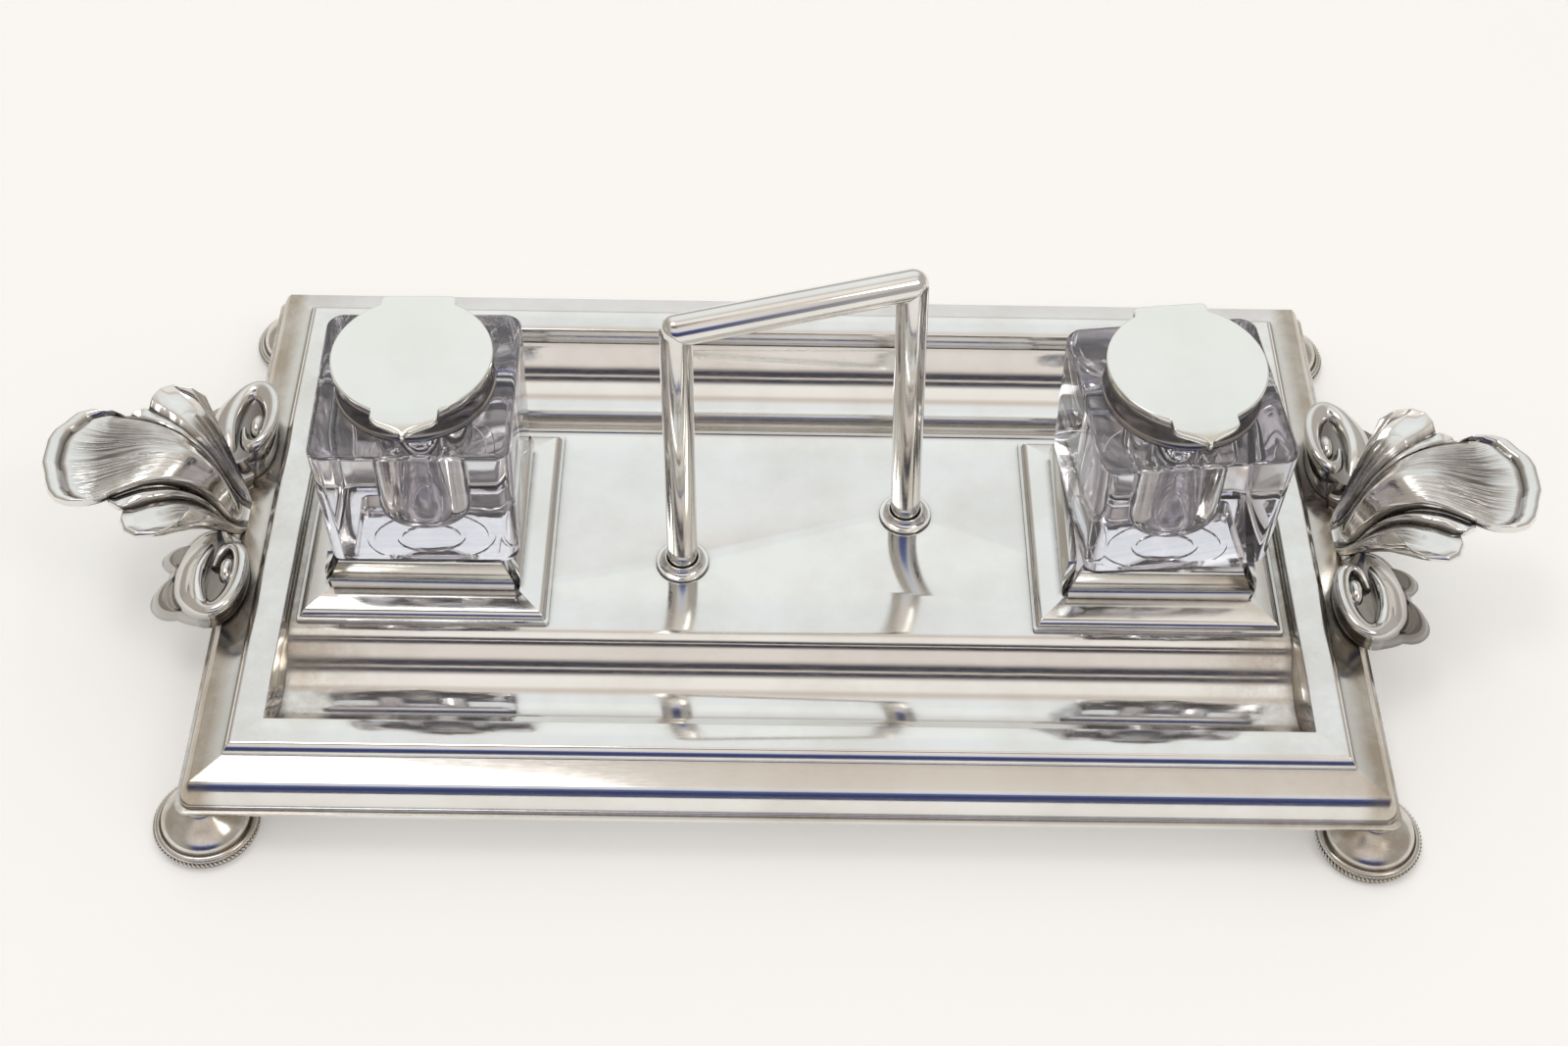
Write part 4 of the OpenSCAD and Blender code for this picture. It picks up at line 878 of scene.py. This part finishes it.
def rope_tree():
    """Slanting teeth round a circle, set at each point of the mesh that carries the tree."""
    group = bpy.data.node_groups.new("roped rim", "GeometryNodeTree")
    face = group.interface
    face.new_socket("Geometry", in_out="INPUT", socket_type="NodeSocketGeometry")
    for name, value in (("Rim radius", ROPE_R * MM), ("Tooth width", TOOTH_W * MM), ("Tooth height", TOOTH_H * MM),
                        ("Slant", ROPE_SLANT)):
        face.new_socket(name, in_out="INPUT", socket_type="NodeSocketFloat").default_value = value
    face.new_socket("Teeth", in_out="INPUT", socket_type="NodeSocketInt").default_value = ROPE_TEETH
    face.new_socket("Silver", in_out="INPUT", socket_type="NodeSocketMaterial")
    face.new_socket("Geometry", in_out="OUTPUT", socket_type="NodeSocketGeometry")
    t = Tree(group)
    given = t.node("NodeGroupInput").outputs
    circle = t.node("GeometryNodeMeshCircle", {"Vertices": given["Teeth"], "Radius": given["Rim radius"]})
    ball = t.node("GeometryNodeMeshUVSphere", {"Segments": 6, "Rings": 4, "Radius": 1.0})
    size = t.node("ShaderNodeCombineXYZ", {"X": given["Tooth width"], "Y": given["Tooth width"],
                                           "Z": given["Tooth height"]})
    tooth = t.node("GeometryNodeTransform", {"Geometry": ball.outputs["Mesh"], "Scale": size.outputs[0]})
    lean = t.node("ShaderNodeCombineXYZ", {"X": given["Slant"]})
    slanted = t.node("GeometryNodeTransform", {"Geometry": tooth.outputs[0], "Rotation": lean.outputs[0]})
    at = t.node("ShaderNodeSeparateXYZ", {0: t.node("GeometryNodeInputPosition").outputs[0]}).outputs
    turn = t.node("ShaderNodeCombineXYZ", {"Z": t.math("ARCTAN2", at["Y"], at["X"])})
    ring = t.node("GeometryNodeInstanceOnPoints", {"Points": circle.outputs["Mesh"], "Instance": slanted.outputs[0],
                                                   "Rotation": turn.outputs[0]})
    feet = t.node("GeometryNodeInstanceOnPoints", {"Points": given["Geometry"], "Instance": ring.outputs[0]})
    real = t.node("GeometryNodeRealizeInstances", {0: feet.outputs[0]})
    plated = t.node("GeometryNodeSetMaterial", {"Geometry": real.outputs[0], "Material": given["Silver"]})
    t.node("NodeGroupOutput", {0: plated.outputs[0]})
    return group


def roped_rims():
    """The fine rope edge round all four feet."""
    mesh = bpy.data.meshes.new("foot_middles")
    mesh.from_pydata([(x * MM, y * MM, ROPE_Z * MM) for x, y in FOOT_AT], [], [])
    piece = new_piece("foot_rims_roped", mesh)
    ropes = piece.modifiers.new("rope", "NODES")
    ropes.node_group = rope_tree()
    sockets = {i.name: i.identifier for i in ropes.node_group.interface.items_tree if i.in_out == "INPUT"}
    ropes[sockets["Silver"]] = FINISH["foot_silver"]
    bake_modifiers(piece)
    smooth_shade(piece.data, 60)
    piece.data.materials.clear()
    piece.data.materials.append(FINISH["foot_silver"])
    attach(piece, BODY_OF["foot_front_left"])


# The pieces that are made anew; all the others only need their edges eased
MADE_ANEW = ("end_leaf", "scroll", "bottle", "collar", "lid", "foot_front", "foot_back", "border", "gallery_left",
             "gallery_right")

for side in ("left", "right"):
    leaf_casting(side)
    for place in ("front", "back"):
        scroll_casting(side, place)
    glass_bottle(side)
    collar(side)
    lid(side)
    gallery(side)
for place, half, edge, turn in BORDERS:
    border(place, half, edge, turn)
for x, y in FOOT_AT:
    turned_foot(f"foot_{'back' if y > 0 else 'front'}_{'left' if x < 0 else 'right'}", x, y)
roped_rims()
for node in NODES:
    if not node.startswith(MADE_ANEW):
        ease(node, EASED_RAIL if "rail" in node else EASED_EDGE)


# Floor, room and light

FLOOR_COLOUR = colour(0.93, 0.93, 0.91)
FLOOR_GLOW, GLOW_COLOUR = 0.24, colour(1.0, 0.995, 0.97)

# How bright the room is round the stand, by the angle up from the back, over the top and down
# to the front, as shares of half a turn
ROOM = [
    (0.00, (0.38, 0.35, 0.33)), (0.07, (0.52, 0.49, 0.47)), (0.13, (0.85, 0.85, 0.86)),
    (0.20, (0.97, 0.995, 0.99)), (0.245, (0.97, 0.995, 0.99)), (0.28, (0.91, 0.945, 0.96)),
    (0.34, (0.92, 0.94, 0.95)), (0.41, (0.72, 0.64, 0.57)), (0.46, (0.97, 0.93, 0.89)),
    (0.53, (1.0, 0.96, 0.92)), (0.59, (0.79, 0.71, 0.64)), (0.745, (0.88, 0.82, 0.78)),
    (0.805, (0.74, 0.76, 0.84)), (0.845, (0.11, 0.14, 0.32)), (0.91, (0.045, 0.055, 0.15)),
    (1.00, (0.12, 0.13, 0.20)),
]
# The curtain's upper and lower edge and the rod across it, in the same shares, and its left and
# right edge as shares of the way across
CURTAIN_TOP, CURTAIN_FOOT, ROD_AT, ROD_HALF = (0.545, 0.575), (0.67, 0.645), 0.606, (0.004, 0.009)
CURTAIN_LEFT, CURTAIN_RIGHT, CURTAIN_COLOUR = (-0.5, -0.35), (0.22, 0.13), colour(0.06, 0.06, 0.08)
DIM_LEFT, DIM_LEFT_COLOUR = (-0.34, -0.66), colour(0.46, 0.42, 0.38)
DIM_RIGHT, DIM_RIGHT_COLOUR = (0.34, 0.62), colour(0.50, 0.47, 0.44)
LAMPS_AIM = Vector((0, 0, 0.03))


def floor():
    """A wide pale floor with a faint glow, which the eye and the silver see and the light doesn't."""
    bpy.ops.mesh.primitive_plane_add(size=40, location=(0, 0, 0))
    plane = bpy.context.object
    plane.name = "floor"
    material, t = new_material("pale floor")
    path = t.node("ShaderNodeLightPath").outputs
    seen = t.math("MAXIMUM", path["Is Camera Ray"], path["Is Glossy Ray"])
    seen = t.math("MAXIMUM", seen, path["Is Transmission Ray"])
    t.surface({"Base Color": FLOOR_COLOUR, "Roughness": 0.9, "Specular IOR Level": 0.0,
               "Emission Color": GLOW_COLOUR, "Emission Strength": t.times(seen, FLOOR_GLOW)})
    plane.data.materials.append(material)


def room():
    """A pale room that the silver mirrors: bright behind, dim at the sides and low in front, with a
    dark curtain high in front that ends a little right of the middle."""
    world = bpy.data.worlds.new("room")
    bpy.context.scene.world = world
    world.use_nodes = True
    t = Tree(world.node_tree)
    way = t.node("ShaderNodeSeparateXYZ", {0: t.node("ShaderNodeTexCoord").outputs["Generated"]}).outputs
    share = t.math("DIVIDE", t.math("ARCTAN2", way["Z"], way["Y"]), math.pi, clamp=True)
    ramp = t.node("ShaderNodeValToRGB", {0: share})
    ramp.color_ramp.interpolation = "EASE"
    stops = ramp.color_ramp.elements
    for place, tone in ROOM:
        stop = stops.new(place) if place not in (0.0, 1.0) else stops[0 if place == 0.0 else -1]
        stop.color = (*tone, 1.0)
    rod = t.ramp(t.math("ABSOLUTE", t.math("SUBTRACT", share, ROD_AT)), *ROD_HALF)
    height = t.times(t.ramp(share, *CURTAIN_TOP), t.ramp(share, *CURTAIN_FOOT), rod)
    width = t.times(t.ramp(way["X"], *CURTAIN_LEFT), t.ramp(way["X"], *CURTAIN_RIGHT))
    tone = t.mix(t.times(height, width), ramp.outputs[0], CURTAIN_COLOUR)
    tone = t.mix(t.ramp(way["X"], *DIM_LEFT), tone, DIM_LEFT_COLOUR)
    tone = t.mix(t.ramp(way["X"], *DIM_RIGHT), tone, DIM_RIGHT_COLOUR)
    light = t.node("ShaderNodeBackground", {"Color": tone, "Strength": 1.0})
    t.node("ShaderNodeOutputWorld", {"Surface": light.outputs[0]})


def soft_light(name, at, size, power, tint):
    """A square soft lamp that looks at the stand."""
    data = bpy.data.lights.new(name, "AREA")
    data.shape = "RECTANGLE"
    data.size = data.size_y = size
    data.energy = power
    data.color = tint
    lamp = bpy.data.objects.new(name, data)
    lamp.location = at
    lamp.rotation_euler = (LAMPS_AIM - Vector(at)).to_track_quat("-Z", "Y").to_euler()
    bpy.context.scene.collection.objects.link(lamp)


photo_camera()
floor()
room()
soft_light("window", (-0.45, 0.1, 1.6), 0.5, 2.5, (0.97, 0.98, 1.0))
soft_light("fill", (0.8, -0.5, 1.2), 0.4, 1.5, (1.0, 0.98, 0.95))

scene = bpy.context.scene
scene.view_settings.view_transform = "Standard"
